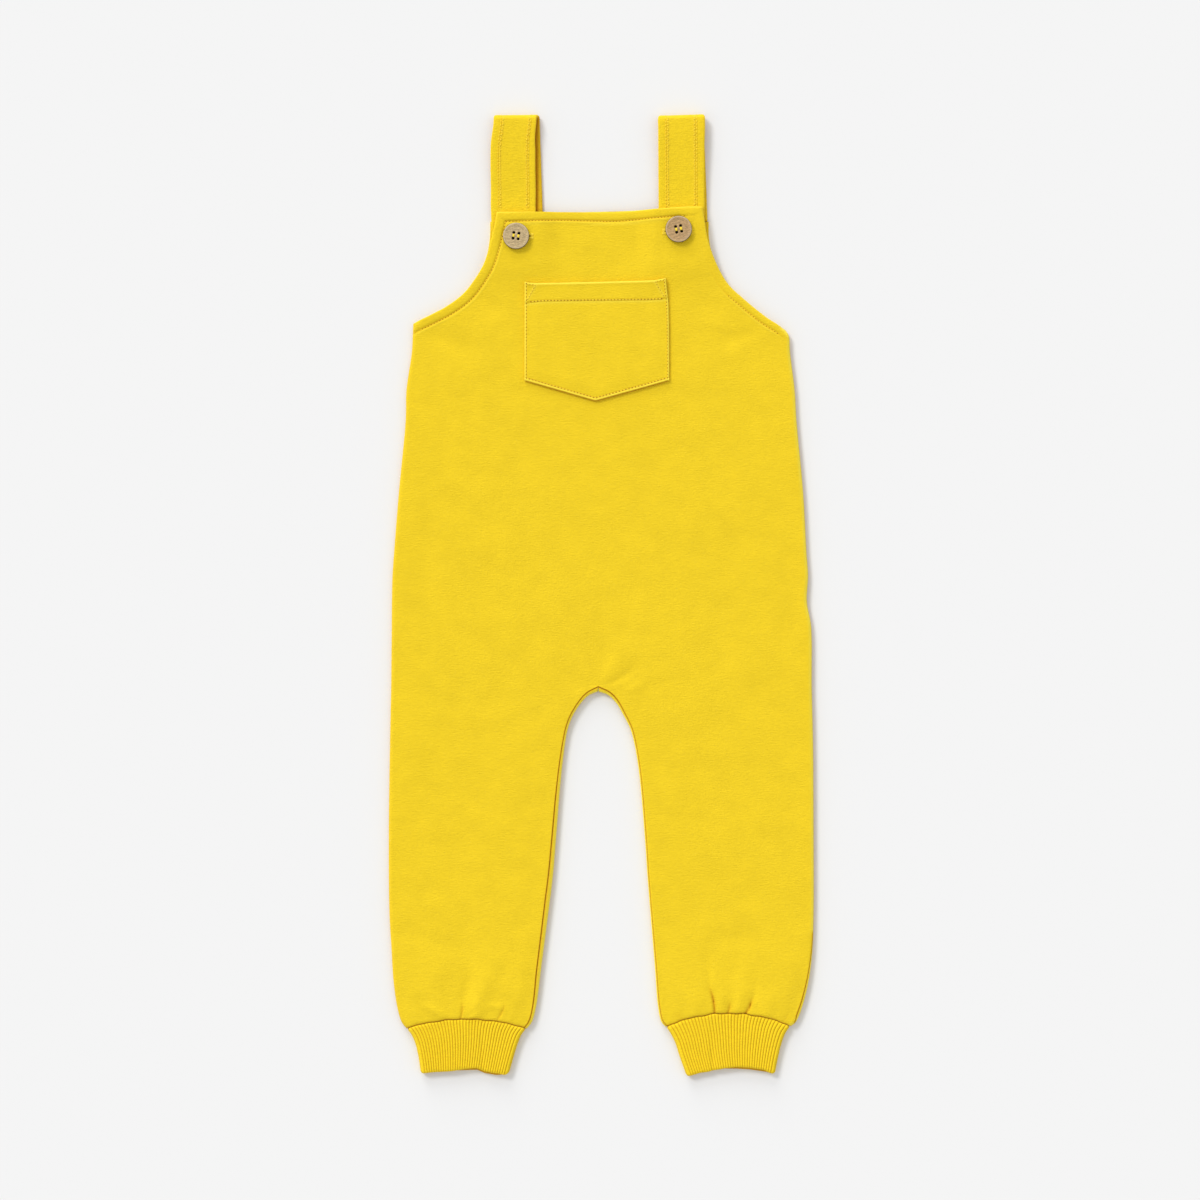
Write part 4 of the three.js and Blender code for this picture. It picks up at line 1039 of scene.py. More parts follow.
class DUNGAREES_OT_back(bpy.types.Operator):
    """Lays the two halves of the back on the table, rolled up round the sides and inseams"""

    bl_idname = "dungarees.back"
    bl_label = "Back halves"

    def execute(self, context):
        cloth = context.scene.dungarees_cloth
        for side, half in HALVES.items():
            made = back_mesh(half, cloth.thickness / MM, cloth.crease_strength)
            piece = add_piece(f"back_{side}_cloth", made, "fleece", f"back_panel_{side}",
                              finishes=[fleece(cloth)])
        return {"FINISHED"}


# The straps


def strap_spine(strap):
    """Places along a strap: middle point, and the turn of its face round the shoulder fold."""
    low, high = STRAP_THICK / 2, STRAP_FOLD_HEIGHT - STRAP_THICK / 2
    bend = (high - low) / 2
    fold_y = STRAP_TOP - bend - low
    back_x, fold_x, bib_x, end_x = (strap[name + "_x"] for name in ("back", "fold", "bib", "end"))
    bib_y, bib_z = STRAP_UNDER_BIB
    up = steps((0, 1, 36))
    turn = np.arange(10, 180, 10)
    angle = np.radians(turn)
    down = steps((0, 1, 34))
    lean = strap["lean"] * ease(0, 0.3, down) * (1 - ease(0.35, 1, down))
    last = steps((0.06, 1, 16))
    last_y = mix(bib_y, STRAP_END, last)
    last_z = mix(1.6 + SEAM_GAP + low, bib_z, ease(244, 256, last_y))
    runs = (
        (mix(back_x, fold_x, up), mix(BACK_TOP + SEAM_GAP, fold_y, up), low, 0),
        (fold_x, fold_y + bend * np.sin(angle), low + bend * (1 - np.cos(angle)), turn),
        (mix(fold_x, bib_x, down) - lean, mix(fold_y, bib_y, down),
         mix(high, bib_z, ease(0, 1, down)), 180),
        (mix(bib_x, end_x, last), last_y, last_z, 180))
    return np.vstack([np.column_stack(np.broadcast_arrays(*run)) for run in runs]), fold_y


STRAP_SPOTS = np.array(
    [0, 0.12, 0.4, 0.8, 1.3, 2.0, 2.9, 3.8, 4.4, 4.8, 5.2, 5.6, 6.1, 6.7, 7.6, 9.0, 10.8, 12.6, 14.2])
STRAP_SPOTS = np.concatenate([STRAP_SPOTS, [15.6], STRAP_WIDTH - STRAP_SPOTS[::-1]]) - STRAP_WIDTH / 2


def strap_faces(strap, spots):
    """Points on a strap's two faces for spots across it, and the way out of the outer face."""
    spine, fold_y = strap_spine(strap)
    x, y, z, turn = spine.T[:, :, None]
    angle = np.radians(turn)
    upper_layer = turn == 180
    corner = np.clip(STRAP_CORNER - (STRAP_TOP - y), 0, STRAP_CORNER)
    narrow = STRAP_CORNER - np.sqrt(STRAP_CORNER**2 - corner**2)
    half, low = STRAP_WIDTH / 2, STRAP_THICK / 2
    across = spots * (1 - narrow / half * (np.abs(spots) / half) ** 4)
    edge = half - np.abs(spots)
    # The upper layer's right edge is drawn in below the fold
    curled = np.clip(spots / half, 0, 1) ** 3 * ease(60, 150, turn) * mix(0.3, 1, ease(300, 320, y))
    across = across - strap["curl"] * curled
    slant = strap["tilt"] * across * np.where(y < fold_y - 1, ease(266, 320, y), 1)
    swell = 0.12 * bell(edge - 2.6, 1.8) - 0.07 * bell(edge - STRAP_HEM, 0.5)
    side = rounded(edge, low) * 0.95
    waver = 0.16 * roughness_of_lay(x + spots, y + 0 * spots, 13, 5.0 + turn.mean())
    crease = 0.35 * bell(y - STRAP_CREASE + 0.3 * (spots - 4), 1.2) * ease(2, 9, spots) * upper_layer
    outer_lift = low - side + swell - crease * (strap["tilt"] < 0.02)
    way = np.stack([0 * angle, np.sin(angle), -np.cos(angle)], -1)
    middle = np.stack([
        x + across, y + slant, z + waver * ease(268, 280, y) * upper_layer], -1)
    outer, inner = (
        middle + way * lift[..., None] for lift in (outer_lift, side - low - swell * 0.5))
    return outer, inner, np.broadcast_to(way, outer.shape)


def strap_mesh(strap, side):
    outer, inner, _ = strap_faces(strap, STRAP_SPOTS)
    edge = STRAP_WIDTH / 2 - np.abs(STRAP_SPOTS)
    # Painted highlight inside each row of stitching, and painted shade on the lower layer's outer
    # face and the lower half of the fold
    pale = 0.25 * bell(edge - STRAP_HEM - 1.5, 0.7)
    spine, fold_y = strap_spine(strap)
    shade = 0.9 * (1 - ease(40, 90, spine[:, 3:])) - pale
    # Painted shade on the lower layer where it shows just beside the upper one
    above = inner[spine[:, 3] == 180, -1][::-1]
    gap = np.abs(inner[..., 0] - np.interp(inner[..., 1], above[:, 1], above[:, 0]))
    lower_layer = (spine[:, 3] == 0)[:, None] & (inner[..., 1] < fold_y + 1)
    under = np.where(lower_layer, strap["gap"] * mix(1, 0.4, ease(0.4, 2.6, gap)), UNDERSIDE_SHADE)
    shell = Shell()
    shell.grid(outer, inner, shade, under)
    return shell.mesh("strap_" + side)


class DUNGAREES_OT_straps(bpy.types.Operator):
    """Lays the straps up from the back, folds them over at the shoulder and down under the bib"""

    bl_idname = "dungarees.straps"
    bl_label = "Straps"

    def execute(self, context):
        cloth = context.scene.dungarees_cloth
        for side, strap in STRAPS.items():
            # The straps' colour is the fleece's made a little lighter, as painted light
            finish = cloth_material("Strap fleece", cloth.strap_lighter_colour, cloth,
                                    streaks=0.26, mottling=0.12, columns=0.25, depth=0.00045)
            piece = add_piece(f"strap_{side}_cloth", strap_mesh(strap, side), "fleece",
                              f"strap_{side}", finishes=[finish])
        return {"FINISHED"}


# The pocket


def pocket_edges():
    """The pocket's outline, corner to corner, its opening as a sagging line."""
    top_left, top_right = (np.array(POCKET[name]) for name in ("top_left", "top_right"))
    shares = np.linspace(0, 1, 60)
    sag = np.interp(shares, POCKET_SAG["share"], POCKET_SAG["sag"])
    top = mix(top_left, top_right, shares[:, None]) - np.column_stack([0 * sag, sag])
    names = ("top_right", "bottom_right", "tip", "bottom_left", "top_left")
    return top, [np.array(POCKET[name]) for name in names]


def to_segment(points, start, end):
    way = end - start
    share = np.clip(((points - start) @ way) / (way @ way), 0, 1)
    return np.linalg.norm(points - start - share[..., None] * way, axis=-1)


def pocket_gaps(points):
    """Distances in from the pocket's sides, lower edges and opening, and up from its hem line."""
    top, (top_right, bottom_right, tip, bottom_left, top_left) = pocket_edges()
    side, bottom = (
        np.minimum(to_segment(points, *one), to_segment(points, *other)) for one, other in (
            ((top_right, bottom_right), (top_left, bottom_left)),
            ((bottom_right, tip), (bottom_left, tip))))
    opening = np.interp(points[..., 0], top[:, 0], top[:, 1]) - points[..., 1]
    return side, bottom, np.maximum(opening, 0), above_pocket_hem(points)


def above_pocket_hem(points):
    return points[..., 1] - np.interp(points[..., 0], *POCKET_HEM.values())


def bulged(points):
    """The pocket's points with its right edge's bulge."""
    share = np.clip((points[..., 0] - 20) / (POCKET["top_right"][0] - 20), 0, 1.1)
    out = np.interp(points[..., 1], *POCKET_BULGE.values()) * share**2
    return points + np.stack([out, 0 * out], -1)


def pocket_top(front, points):
    """Height of the pocket's face above the table."""
    side, bottom, opening, hem = pocket_gaps(points)
    edge = np.minimum(np.minimum(side, bottom), opening)
    in_hem = ease(-0.9, 0.9, hem)
    thick = mix(front.thick, front.hem_thick, in_hem)
    fullness = 0.3 * ease(2, 9, edge) * (1 - in_hem)
    stitched = (0.14 * bell(side - POCKET_STITCH["side"], 0.4) + 0.15 * bell(hem, 0.5)
                + 0.26 * bell(bottom - POCKET_STITCH["bottom"], 0.45))
    rim = (0.2 * bell(side - 0.5, 0.5) + 0.22 * bell(bottom - 1.1, 0.6)
           + 0.2 * bell(opening - 1.2, 1.1))
    return front.level(points) + SEAM_GAP + thick + fullness + rim - stitched - rounded(edge, 0.8)


def pocket_grid():
    """Sites of the pocket: columns from the opening to the lower edge."""
    top, (top_right, bottom_right, tip, bottom_left, top_left) = pocket_edges()
    rim = np.array([0, 0.15, 0.4, 0.75, 1.1, 1.4, 1.65, 1.9, 2.3, 2.9, 3.6])
    near = np.array([-1.2, -0.8, -0.4, 0, 0.4, 0.8, 1.2, 2])
    width = top_right[0] - top_left[0]
    columns = np.concatenate([rim, np.linspace(4.6, width - 4.6, 66), width - rim[::-1]]) / width
    start_x = mix(top_left[0], top_right[0], columns)
    start = np.column_stack([start_x, np.interp(start_x, top[:, 0], top[:, 1])])
    twice = columns[:, None] * 2
    end = np.where(twice < 1, mix(bottom_left, tip, twice), mix(tip, bottom_right, twice - 1))
    length = np.linalg.norm(end - start, axis=1)
    down = np.array([
        np.concatenate([
            rim, mix(rim[-1], at + near[0], even_shares(6)), at + near,
            mix(at + near[-1], total - rim[-1], even_shares(40)), total - rim[::-1]])
        for at, total in zip(above_pocket_hem(start), length)]).T / length
    return mix(start, end, down[..., None])


def pocket_mesh(front):
    points = pocket_grid()
    side, bottom, opening, hem = pocket_gaps(points)
    edge = np.minimum(np.minimum(side, bottom), opening)
    under = front.level(points) + SEAM_GAP + 0.3 * rounded(edge, 0.8)
    # Painted shade on the stitch lines and along the lower edges, painted highlight on the rim, under
    # the hem stitching, at the opening and along the corners' slanted stitching
    shade = (0.06 * bell(side - POCKET_STITCH["side"], 0.4) - bell(side - 0.45, 0.5)
             + 0.34 * bell(bottom - POCKET_STITCH["bottom"], 0.4) - bell(bottom - 1.1, 0.5)
             + 1.3 * bell(bottom, 0.35) + 0.1 * bell(hem, 0.45) - 0.6 * bell(hem + 1.3, 0.6)
             - bell(opening - 0.6, 0.7))
    for slant in pocket_tacks():
        shade = shade - 0.55 * bell(to_segment(points, slant[1], slant[2]), 0.9)
    shell = Shell()
    shell.grid(with_height(bulged(points), pocket_top(front, points)),
               with_height(bulged(points), under), shade, UNDERSIDE_SHADE)
    return shell.mesh("pocket")


class DUNGAREES_OT_pocket(bpy.types.Operator):
    """Lays the five-sided patch pocket on the bib"""

    bl_idname = "dungarees.pocket"
    bl_label = "Pocket"

    def execute(self, context):
        cloth = context.scene.dungarees_cloth
        piece = add_piece("pocket_cloth", pocket_mesh(Front(cloth)), "fleece", "pocket",
                          finishes=[fleece(cloth)])
        return {"FINISHED"}


# The cuffs


def cuff_ring(count):
    """Spots round a cuff, run by run: share across, turn round the side and rib phase."""
    runs = (
        (8 * count, (0, 180, 0), (1, 180, count)), (18, (1, 180, count), (1, 0, count + 3)),
        (6 * count, (1, 0, 0), (0, 0, count)), (18, (0, 0, 0), (0, 180, 3)))
    return np.vstack([
        np.linspace(start, end, spots, endpoint=False) for spots, start, end in runs])


def cuff_mesh(side, ribs):
    cuff, end = CUFFS[side], LEG_ENDS[side]
    seam = sorted([end["outer"], end["inner"]])
    lines = [
        Line(np.vstack([[(start_x, corner[1])], column(cuff["sides"], name)]))
        for start_x, corner, name in zip(cuff["start"], seam, ("left", "right"))]
    down = steps((0, 0.06, 5), (0.06, 0.93, 20), (0.93, 1, 7))[:, None]
    from_seam, from_foot = down * lines[0].length, (1 - down) * lines[0].length
    left, right = (line.at(down[:, 0]) for line in lines)
    start, stop = (np.where(down == 0, corner, spots) for corner, spots in zip(seam, (left, right)))
    share, turn, phase = cuff_ring(ribs.rib_count).T
    sine, cosine = np.sin(np.radians(turn)), np.cos(np.radians(turn))
    radius = CUFF_HEIGHT / 2
    bow = end["bow"] * (1 - down) ** 1.3
    pinch = rounded(from_foot, 1.1) * 0.85 + rounded(from_seam, 0.8) * 0.4
    groove = np.abs(2 * (phase % 1) - 1)
    height = ribs.rib_height / MM
    rise = (height * (1 - groove**3.6) * mix(0.25, 1, ease(0, 1.6, from_seam))
            * mix(0.35, 1, ease(0, 2.2, from_foot)))

    def span(ring):
        """Points round the cuff for a skin that lies ring out from its middle."""
        x = mix(left[:, :1] + radius, right[:, :1] - radius, share)
        x = x + ring * sine * np.where(share == 1, 1, np.where(share == 0, -1, 0))
        s = np.clip((x - start[:, :1]) / (stop[:, :1] - start[:, :1]), 0, 1)
        short = (FOOT_SHORT * ease(0.3, 0.6, s) * (1 - ease(0.86, 0.98, s))
                 * ease(0.5, 1, (1 - cosine) / 2))
        y = mix(start[:, 1:], stop[:, 1:], s) + arch_at(x, start[:, None], stop[:, None], bow)
        y = y + (np.interp(s, *cuff["foot"].values()) + short) * down**2 - SEAM_GAP * (down == 0)
        return np.stack([x, y, radius - ring * cosine], -1)

    upper = span(radius - pinch + rise * (turn > 0) * (turn < 180))
    lower = span(radius - CUFF_WALL + 0.6 * pinch)
    off = upper[..., 0] - cuff["valley"] + 0.06 * (upper[..., 1] + 300)
    valley = np.where(off < 0, bell(off, 1.2), bell(off, 2.6)) * ease(2, 24, from_seam)
    valley = 0.6 * valley * (turn == 180)
    upper[..., 2] += np.where(turn == 180, rise, 0) - valley
    on_table = np.maximum(upper[..., 2], 0) + (height - rise) * 0.9
    upper[..., 2] = np.where(turn == 0, on_table, upper[..., 2])
    lower[..., 2] -= 0.5 * valley
    shell = Shell()
    # Painted shade in the bottoms of the rib grooves
    shell.grid(upper, lower, 0.75 * ease(0.66, 1, groove), UNDERSIDE_SHADE, closed=True)
    return shell.mesh("cuff_" + side)


class DUNGAREES_OT_cuffs(bpy.types.Operator):
    """Knits the two ribbed ankle cuffs, each a flattened ring of double rib"""

    bl_idname = "dungarees.cuffs"
    bl_label = "Ankle cuffs"

    def execute(self, context):
        ribs = context.scene.dungarees_ribs
        cloth = context.scene.dungarees_cloth
        for side in CUFFS:
            finish = cloth_material("Rib knit", ribs.rib_colour, cloth,
                                    streaks=0.25, mottling=0.08, columns=0.2, depth=0.0003)
            piece = add_piece(f"cuff_{side}_knit", cuff_mesh(side, ribs), "rib_knit",
                              f"cuff_{side}", finishes=[finish])
        return {"FINISHED"}


# Sewing


UPRIGHT = (0, 0, 1.0)


def thread_mesh(centres, ways, lengths, width, ups=UPRIGHT):
    """Short rounded threads, each lying along its way."""
    ups = np.broadcast_to(ups, ways.shape)
    rings = np.array([(-1, 0.25), (-0.82, 0.8), (-0.4, 1), (0.4, 1), (0.82, 0.8), (1, 0.25)])
    sides = 6
    angle = np.arange(sides) / sides * 2 * np.pi
    local = np.array([(a, r * math.cos(t), r * math.sin(t)) for a, r in rings for t in angle])
    widths = np.full(len(lengths), width / 2)
    frames = np.stack([ways, np.cross(ups, ways), ups], 1)
    scale = np.stack([lengths / 2, widths, widths], -1)
    points = centres[:, None] + np.einsum("vk,sk,skd->svd", local, scale, frames)
    start = np.arange(len(rings) - 1)[:, None] * sides
    band, around = start + np.arange(sides), start + (np.arange(sides) + 1) % sides
    quads = np.stack([band, around, around + sides, band + sides], -1).reshape(-1, 4)
    caps = np.array([range(sides)[::-1], range(len(local) - sides, len(local))])
    faces = []
    for shift in range(0, len(centres) * len(local), len(local)):
        faces += [*(quads + shift).tolist(), *(caps + shift).tolist()]
    return points.reshape(-1, 3), faces


def join_threads(name, parts):
    """Joins sewn parts, each points, faces and the number of its material, into one mesh."""
    points, faces, slots, count = [], [], [], 0
    for spots, made, number in parts:
        points.append(spots)
        faces += [[k + count for k in face] for face in made]
        slots += [number] * len(made)
        count += len(spots)
    mesh = mesh_from(name, np.vstack(points), faces)
    mesh.polygons.foreach_set("material_index", slots)
    mesh.shade_smooth()
    return mesh


def resampled(path, pitch):
    """Points a pitch apart along a path of any dimension."""
    gaps = np.linalg.norm(np.diff(path, axis=0), axis=1)
    run = np.concatenate([[0], np.cumsum(gaps)])
    count = max(2, int(round(run[-1] / pitch)) + 1)
    at = np.linspace(0, run[-1], count)
    return np.stack([np.interp(at, run, path[:, k]) for k in range(path.shape[1])], -1)


def stitches_along(path, sewing, ups=UPRIGHT, pitch=None, sunk=0.12, hole=0.85):
    """A row of lockstitches with a needle hole at each end: a small dark shape, painted shade."""
    width = sewing.thread_width / MM
    path = np.hstack([path, np.broadcast_to(ups, path.shape)])
    spots = resampled(path, pitch or sewing.stitch_pitch / MM)
    spots, ups = spots[:, :3], spots[:, 3:]
    ways = np.diff(spots, axis=0)
    lengths = np.linalg.norm(ways, axis=1)
    ways = ways / lengths[:, None]
    middle_up, hole_up = unit(ups[:-1]), unit(ups)
    centres = (spots[:-1] + spots[1:]) / 2 + middle_up * (width / 2 - sunk)
    stitches = thread_mesh(centres, ways, lengths * THREAD_SHARE, width, middle_up)
    # Each needle hole is a small dark shape that stands for the shade in it
    holes = thread_mesh(
        spots - hole_up * (hole * 0.2), np.vstack([ways, ways[-1:]]),
        np.full(len(spots), hole * 1.1), hole * 0.9, hole_up)
    return [(*stitches, 0), (*holes, 1)]


def zigzag(path, across, pitch):
    """Points that cross to and fro over a path."""
    spots = resampled(path, pitch)
    way = unit(np.gradient(spots[:, :2], axis=0))
    swing = np.where(np.arange(len(spots)) % 2, 0.5, -0.5) * across
    spots[:, 0] -= way[:, 1] * swing
    spots[:, 1] += way[:, 0] * swing
    return spots


def hem_paths(front):
    """The topstitching of the bib's top and armholes, as lines on the front."""
    shares = np.linspace(0, 1, 260)
    armholes = ((side, half.armhole, half.turn) for side, half in HALVES.items())
    lines = {}
    for name, line, turn in (("top", BIB_LINE, 1), *armholes):
        width, ditch = (
            np.interp(shares, HEMS[name]["share"], HEMS[name][kind]) for kind in ("width", "ditch"))
        lines[name] = line.at(shares) - line.outward(shares, turn) * width[:, None], ditch > 0.3
    corner_x, below = lines["left"][0][0, 0], BIB_LINE.at(0.0)[1] - 6
    paths = []
    for name, (spots, shown) in lines.items():
        x, y = spots.T
        spots = spots[shown & (np.abs(x) < HEM_STITCH_REACH)
                      & (x > corner_x if name == "top" else y < below)]
        paths.append(with_height(spots, front.top(spots)))
    return paths


def pocket_tacks():
    """The stitched triangles in the pocket's top corners, each as three points."""
    slants = []
    for name, inward in (("top_left", 1), ("top_right", -1)):
        corner = POCKET[name]
        edge_x = corner[0] + inward * POCKET_STITCH["side"]
        slants.append(np.array([
            (edge_x + inward * 0.4, corner[1] - 1.9), (edge_x + inward * 6.2, corner[1] - 2.6),
            (edge_x + inward * 0.9, corner[1] - 12.4)]))
    return slants


def pocket_paths():
    """The pocket's topstitching with the size of its needle holes: edges, hem and top corners."""
    _, corners = pocket_edges()
    top_right, bottom_right, tip, bottom_left, top_left = corners
    inset = POCKET_STITCH["side"]
    lift = 1.04 * POCKET_STITCH["bottom"]
    left_x, right_x = top_left[0] + inset, top_right[0] - inset
    outline = np.array([
        (left_x, top_left[1] - 1.6), (bottom_left[0] + inset, bottom_left[1] + lift - 0.28 * inset),
        (tip[0], tip[1] + lift), (bottom_right[0] - inset, bottom_right[1] + lift - 0.28 * inset),
        (right_x, top_right[1] - 1.4)])
    hem_x = np.linspace(left_x + 3.2, right_x - 2.4, 80)
    hem = np.column_stack([hem_x, np.interp(hem_x, *POCKET_HEM.values())])
    paths = [(outline[:2], 0.9), (outline[1:4], 1.25), (outline[3:], 0.9), (hem, 1.1)]
    paths += [(slant, 0.6) for slant in pocket_tacks()]
    return [(dense(path), hole) for path, hole in paths]


def dense(path, spacing=0.5):
    """Straight runs between corners, filled with points."""
    parts = []
    for a, b in zip(path, path[1:]):
        count = max(2, int(np.linalg.norm(b - a) / spacing))
        parts.append(mix(a, b, np.linspace(0, 1, count, endpoint=False)[:, None]))
    return np.vstack([*parts, path[-1:]])


class DUNGAREES_OT_stitching(bpy.types.Operator):
    """Topstitches the hems, the pocket and the straps and edges the buttonholes"""

    bl_idname = "dungarees.stitching"
    bl_label = "Topstitching"

    def execute(self, context):
        sewing = context.scene.dungarees_sewing
        front = Front(context.scene.dungarees_cloth)
        finishes = [thread(sewing), hole_shade("Needle hole", sewing.needle_hole_shade_colour)]
        self.sew("stitches_hems", [
            part for path in hem_paths(front) for part in stitches_along(path, sewing)], finishes)
        self.sew("stitches_pocket", [
            part for path, hole in pocket_paths()
            for part in stitches_along(
                with_height(bulged(path), pocket_top(front, path)), sewing, pitch=POCKET_PITCH,
                sunk=0.1, hole=hole)], finishes)
        straps = []
        for strap in STRAPS.values():
            straps += strap_stitches(strap, sewing)
        self.sew("stitches_straps", straps, finishes)
        self.sew("buttonhole_edging", [
            part for x, y in BUTTONHOLES.values() for part in edging(front, x, y)], finishes)
        return {"FINISHED"}

    def sew(self, name, parts, finishes):
        add_piece(name, join_threads(name, parts), "fleece", finishes=finishes)


def strap_stitches(strap, sewing):
    """Two straight rows near a strap's edges with a zigzag just inside each."""
    parts = []
    half = STRAP_WIDTH / 2
    for sign in (-1, 1):
        for inset, crossing in ((STRAP_HEM, False), (STRAP_HEM + 1.4, True)):
            spots = np.array([sign * (half - inset) - 0.05, sign * (half - inset) + 0.05])
            outer, _, way = strap_faces(strap, spots)
            shown = (outer[:, 0, 1] > STRAP_SHOWS) & (outer[:, 0, 2] > STRAP_THICK)
            path, ups = outer[shown, 0], way[shown, 0]
            if crossing:
                path = zigzag(path, ZIGZAG["width"], ZIGZAG["step"])
                parts += stitches_along(path, sewing, pitch=ZIGZAG["pitch"], sunk=-0.1, hole=0.08)
            else:
                parts += stitches_along(path, sewing, ups, STRAP_PITCH, sunk=-0.1, hole=0.22)
    return parts


def edging(front, x, y):
    """Close satin stitches round a buttonhole, and a bar tack at each end."""
    half = BUTTONHOLE_LENGTH / 2
    across = [((x + along, y + sign * EDGING_OUT), (0.12, 1))
              for along in np.linspace(-half - 0.2, half + 0.2, EDGING_COUNT)
              for sign in (-1, 1)]
    tacks = [((x + sign * (half - BAR_TACK / 2 + 0.2), y + 0.65 * k), (1, 0.1 * k))
             for sign in (-1, 1) for k in range(-2, 3)]
    spots, ways = (np.array(part) for part in zip(*across, *tacks))
    none = np.zeros(len(spots))
    made = thread_mesh(
        with_height(spots, front.top(spots) + 0.1), with_height(unit(ways), none),
        none + EDGING_STITCH, EDGING_WIDTH)
    return [(*made, 0)]


# Buttons


def button_profile(radius, thick):
    """The turned shape of a button, from the middle of its back round to its dished middle."""
    quarter = np.radians([0, 22, 45, 68, 90])
    side = [(radius - 0.8 + 0.8 * math.sin(a), 0.8 - 0.8 * math.cos(a)) for a in quarter]
    top = [(radius - 0.7 + 0.7 * math.cos(a), thick - 0.7 + 0.7 * math.sin(a)) for a in quarter]
    inner = [(radius - 0.9 - 1.6 * t, thick - DISH * (t * t * (3 - 2 * t)))
             for t in np.linspace(0, 1, 7)]
    flat = [(radius * share, thick - DISH) for share in (0.66, 0.5, 0.34, 0.18)]
    return [(radius * 0.4, 0), *side, *top, *inner, *flat]


def turned_mesh(profile, sides):
    """A solid turned from a profile that starts and ends on the axis."""
    angle = np.arange(sides) / sides * 2 * np.pi
    rings = np.array([[(r * math.cos(a), r * math.sin(a), z) for a in angle] for r, z in profile])
    points = np.vstack([rings.reshape(-1, 3), (0, 0, profile[0][1]), (0, 0, profile[-1][1])])
    index = np.arange(len(profile) * sides).reshape(len(profile), sides)
    right = np.roll(index, -1, axis=1)
    faces = np.stack([index[:-1], right[:-1], right[1:], index[1:]], -1).reshape(-1, 4).tolist()
    middle = len(points) - 2
    for hub, one, other in ((middle, right[0], index[0]), (middle + 1, index[-1], right[-1])):
        faces += [[hub, int(one[k]), int(other[k])] for k in range(sides)]
    return mesh_from("turned", points, faces, middle=(0, 0, 0))


def drill(piece, x, y, thick):
    """Bores one thread hole with softened rims."""
    flare, face = 0.3, thick - DISH
    bit = hung("bit", turned_mesh(
        [(BUTTON_HOLE + out, z) for out, z in (
            (flare, -1), (flare, 0), (0, flare), (0, face - flare), (flare * 0.35, face - 0.1),
            (flare * 0.9, face), (flare * 0.9, thick + 1))], 24))
    bit.location = (x * MM, y * MM, 0)
    cut(piece, bit)


class DUNGAREES_OT_buttons(bpy.types.Operator):
    """Turns the two four-hole coconut buttons and sews them on"""

    bl_idname = "dungarees.buttons"
    bl_label = "Buttons"

    def execute(self, context):
        settings = context.scene.dungarees_buttons
        for side, button in BUTTONS.items():
            low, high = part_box(f"button_{side}")
            radius, thick = (high.x - low.x) / 2 / MM, (high.z - low.z) / MM
            piece = hung(f"coconut_button_{side}",
                         turned_mesh(button_profile(radius, thick), 64))
            for x, y in BUTTON_HOLES:
                drill(piece, x, y, thick)
            piece.data.shade_smooth()
            piece.data.materials.append(coconut(side, settings, radius * MM, thick))
            piece.location = ((low.x + high.x) / 2, (low.y + high.y) / 2, low.z)
            piece.rotation_euler.z = math.radians(button["turn"])
            declared(piece, "coconut_shell", f"button_{side}")
            self.sew_on(side, button, low.z / MM, thick, context.scene.dungarees_sewing)
        return {"FINISHED"}

    def sew_on(self, side, button, base, thick, sewing):
        """Bars of thread from each upper hole to the hole below it, and a dark stem of painted shade
        in each.
        """
        centres, ways, lengths = [], [], []
        turn = math.radians(button["turn"])
        up = np.array([-math.sin(turn), math.cos(turn)])
        right = np.array([math.cos(turn), math.sin(turn)])
        here = np.array([button["x"], button["y"]])
        for column_x in (-BUTTON_HOLES_X, BUTTON_HOLES_X):
            for strand in range(-2, 3):
                spot = here + right * (column_x * 0.94 + strand * 0.24)
                centres.append((*spot, base + thick - DISH + 0.22 - 0.05 * abs(strand)))
                ways.append((*(up + right * 0.03 * strand), 0))
                lengths.append(2 * (BUTTON_HOLES_Y - BUTTON_HOLE) + 0.5 - 0.2 * abs(strand))
        bars = thread_mesh(
            np.array(centres), unit(np.array(ways)), np.array(lengths), BUTTON_THREAD)
        # A stem in each hole, coloured near black: painted shade in the hole
        stems = np.array([
            (*(here + right * x + up * y), base + (thick - 1.4) / 2) for x, y in BUTTON_HOLES])
        stem = thread_mesh(
            stems, np.broadcast_to(UPRIGHT, stems.shape), np.full(len(stems), thick - 1.5),
            2 * BUTTON_HOLE - 0.3, ups=(0, 1.0, 0))
        name = f"button_thread_{side}"
        add_piece(name, join_threads(name, [(*bars, 0), (*stem, 1)]), "fleece", finishes=[
            thread(sewing), hole_shade("Button hole", (0.02, 0.01, 0.004, 1))])


# Finishes


def feed(tree, target, inputs):
    """Wires a node's inputs to sockets, or sets them to values, by name or number."""
    for label, value in inputs.items():
        if isinstance(value, bpy.types.NodeSocket):
            tree.links.new(value, target.inputs[label])
        else:
            target.inputs[label].default_value = value


def node(tree, kind, inputs=None, **settings):
    made = tree.nodes.new("ShaderNode" + kind)
    for name, value in settings.items():
        setattr(made, name, value)
    feed(tree, made, inputs or {})
    return made


def sums(tree, operation, *values):
    return node(tree, "Math", dict(enumerate(values)), operation=operation).outputs[0]


def scaled(tree, value, slope, start):
    return sums(tree, "ADD", sums(tree, "MULTIPLY", value, slope), start)


def blend(tree, factor, first, second):
    """One colour fading into another."""
    return node(tree, "Mix", {0: factor, 6: first, 7: second},
                data_type="RGBA", clamp_factor=True).outputs[2]


def stretched_noise(tree, spacing, detail, roughness=0.5):
    """Noise whose hills are spacing apart, in metres, each way."""
    scale = node(tree, "Mapping", {
        "Vector": node(tree, "TexCoord").outputs["Object"],
        "Scale": [1 / size for size in spacing]})
    return node(tree, "TexNoise", {
        "Vector": scale.outputs[0], "Scale": 1, "Detail": detail,
        "Roughness": roughness}).outputs["Fac"]


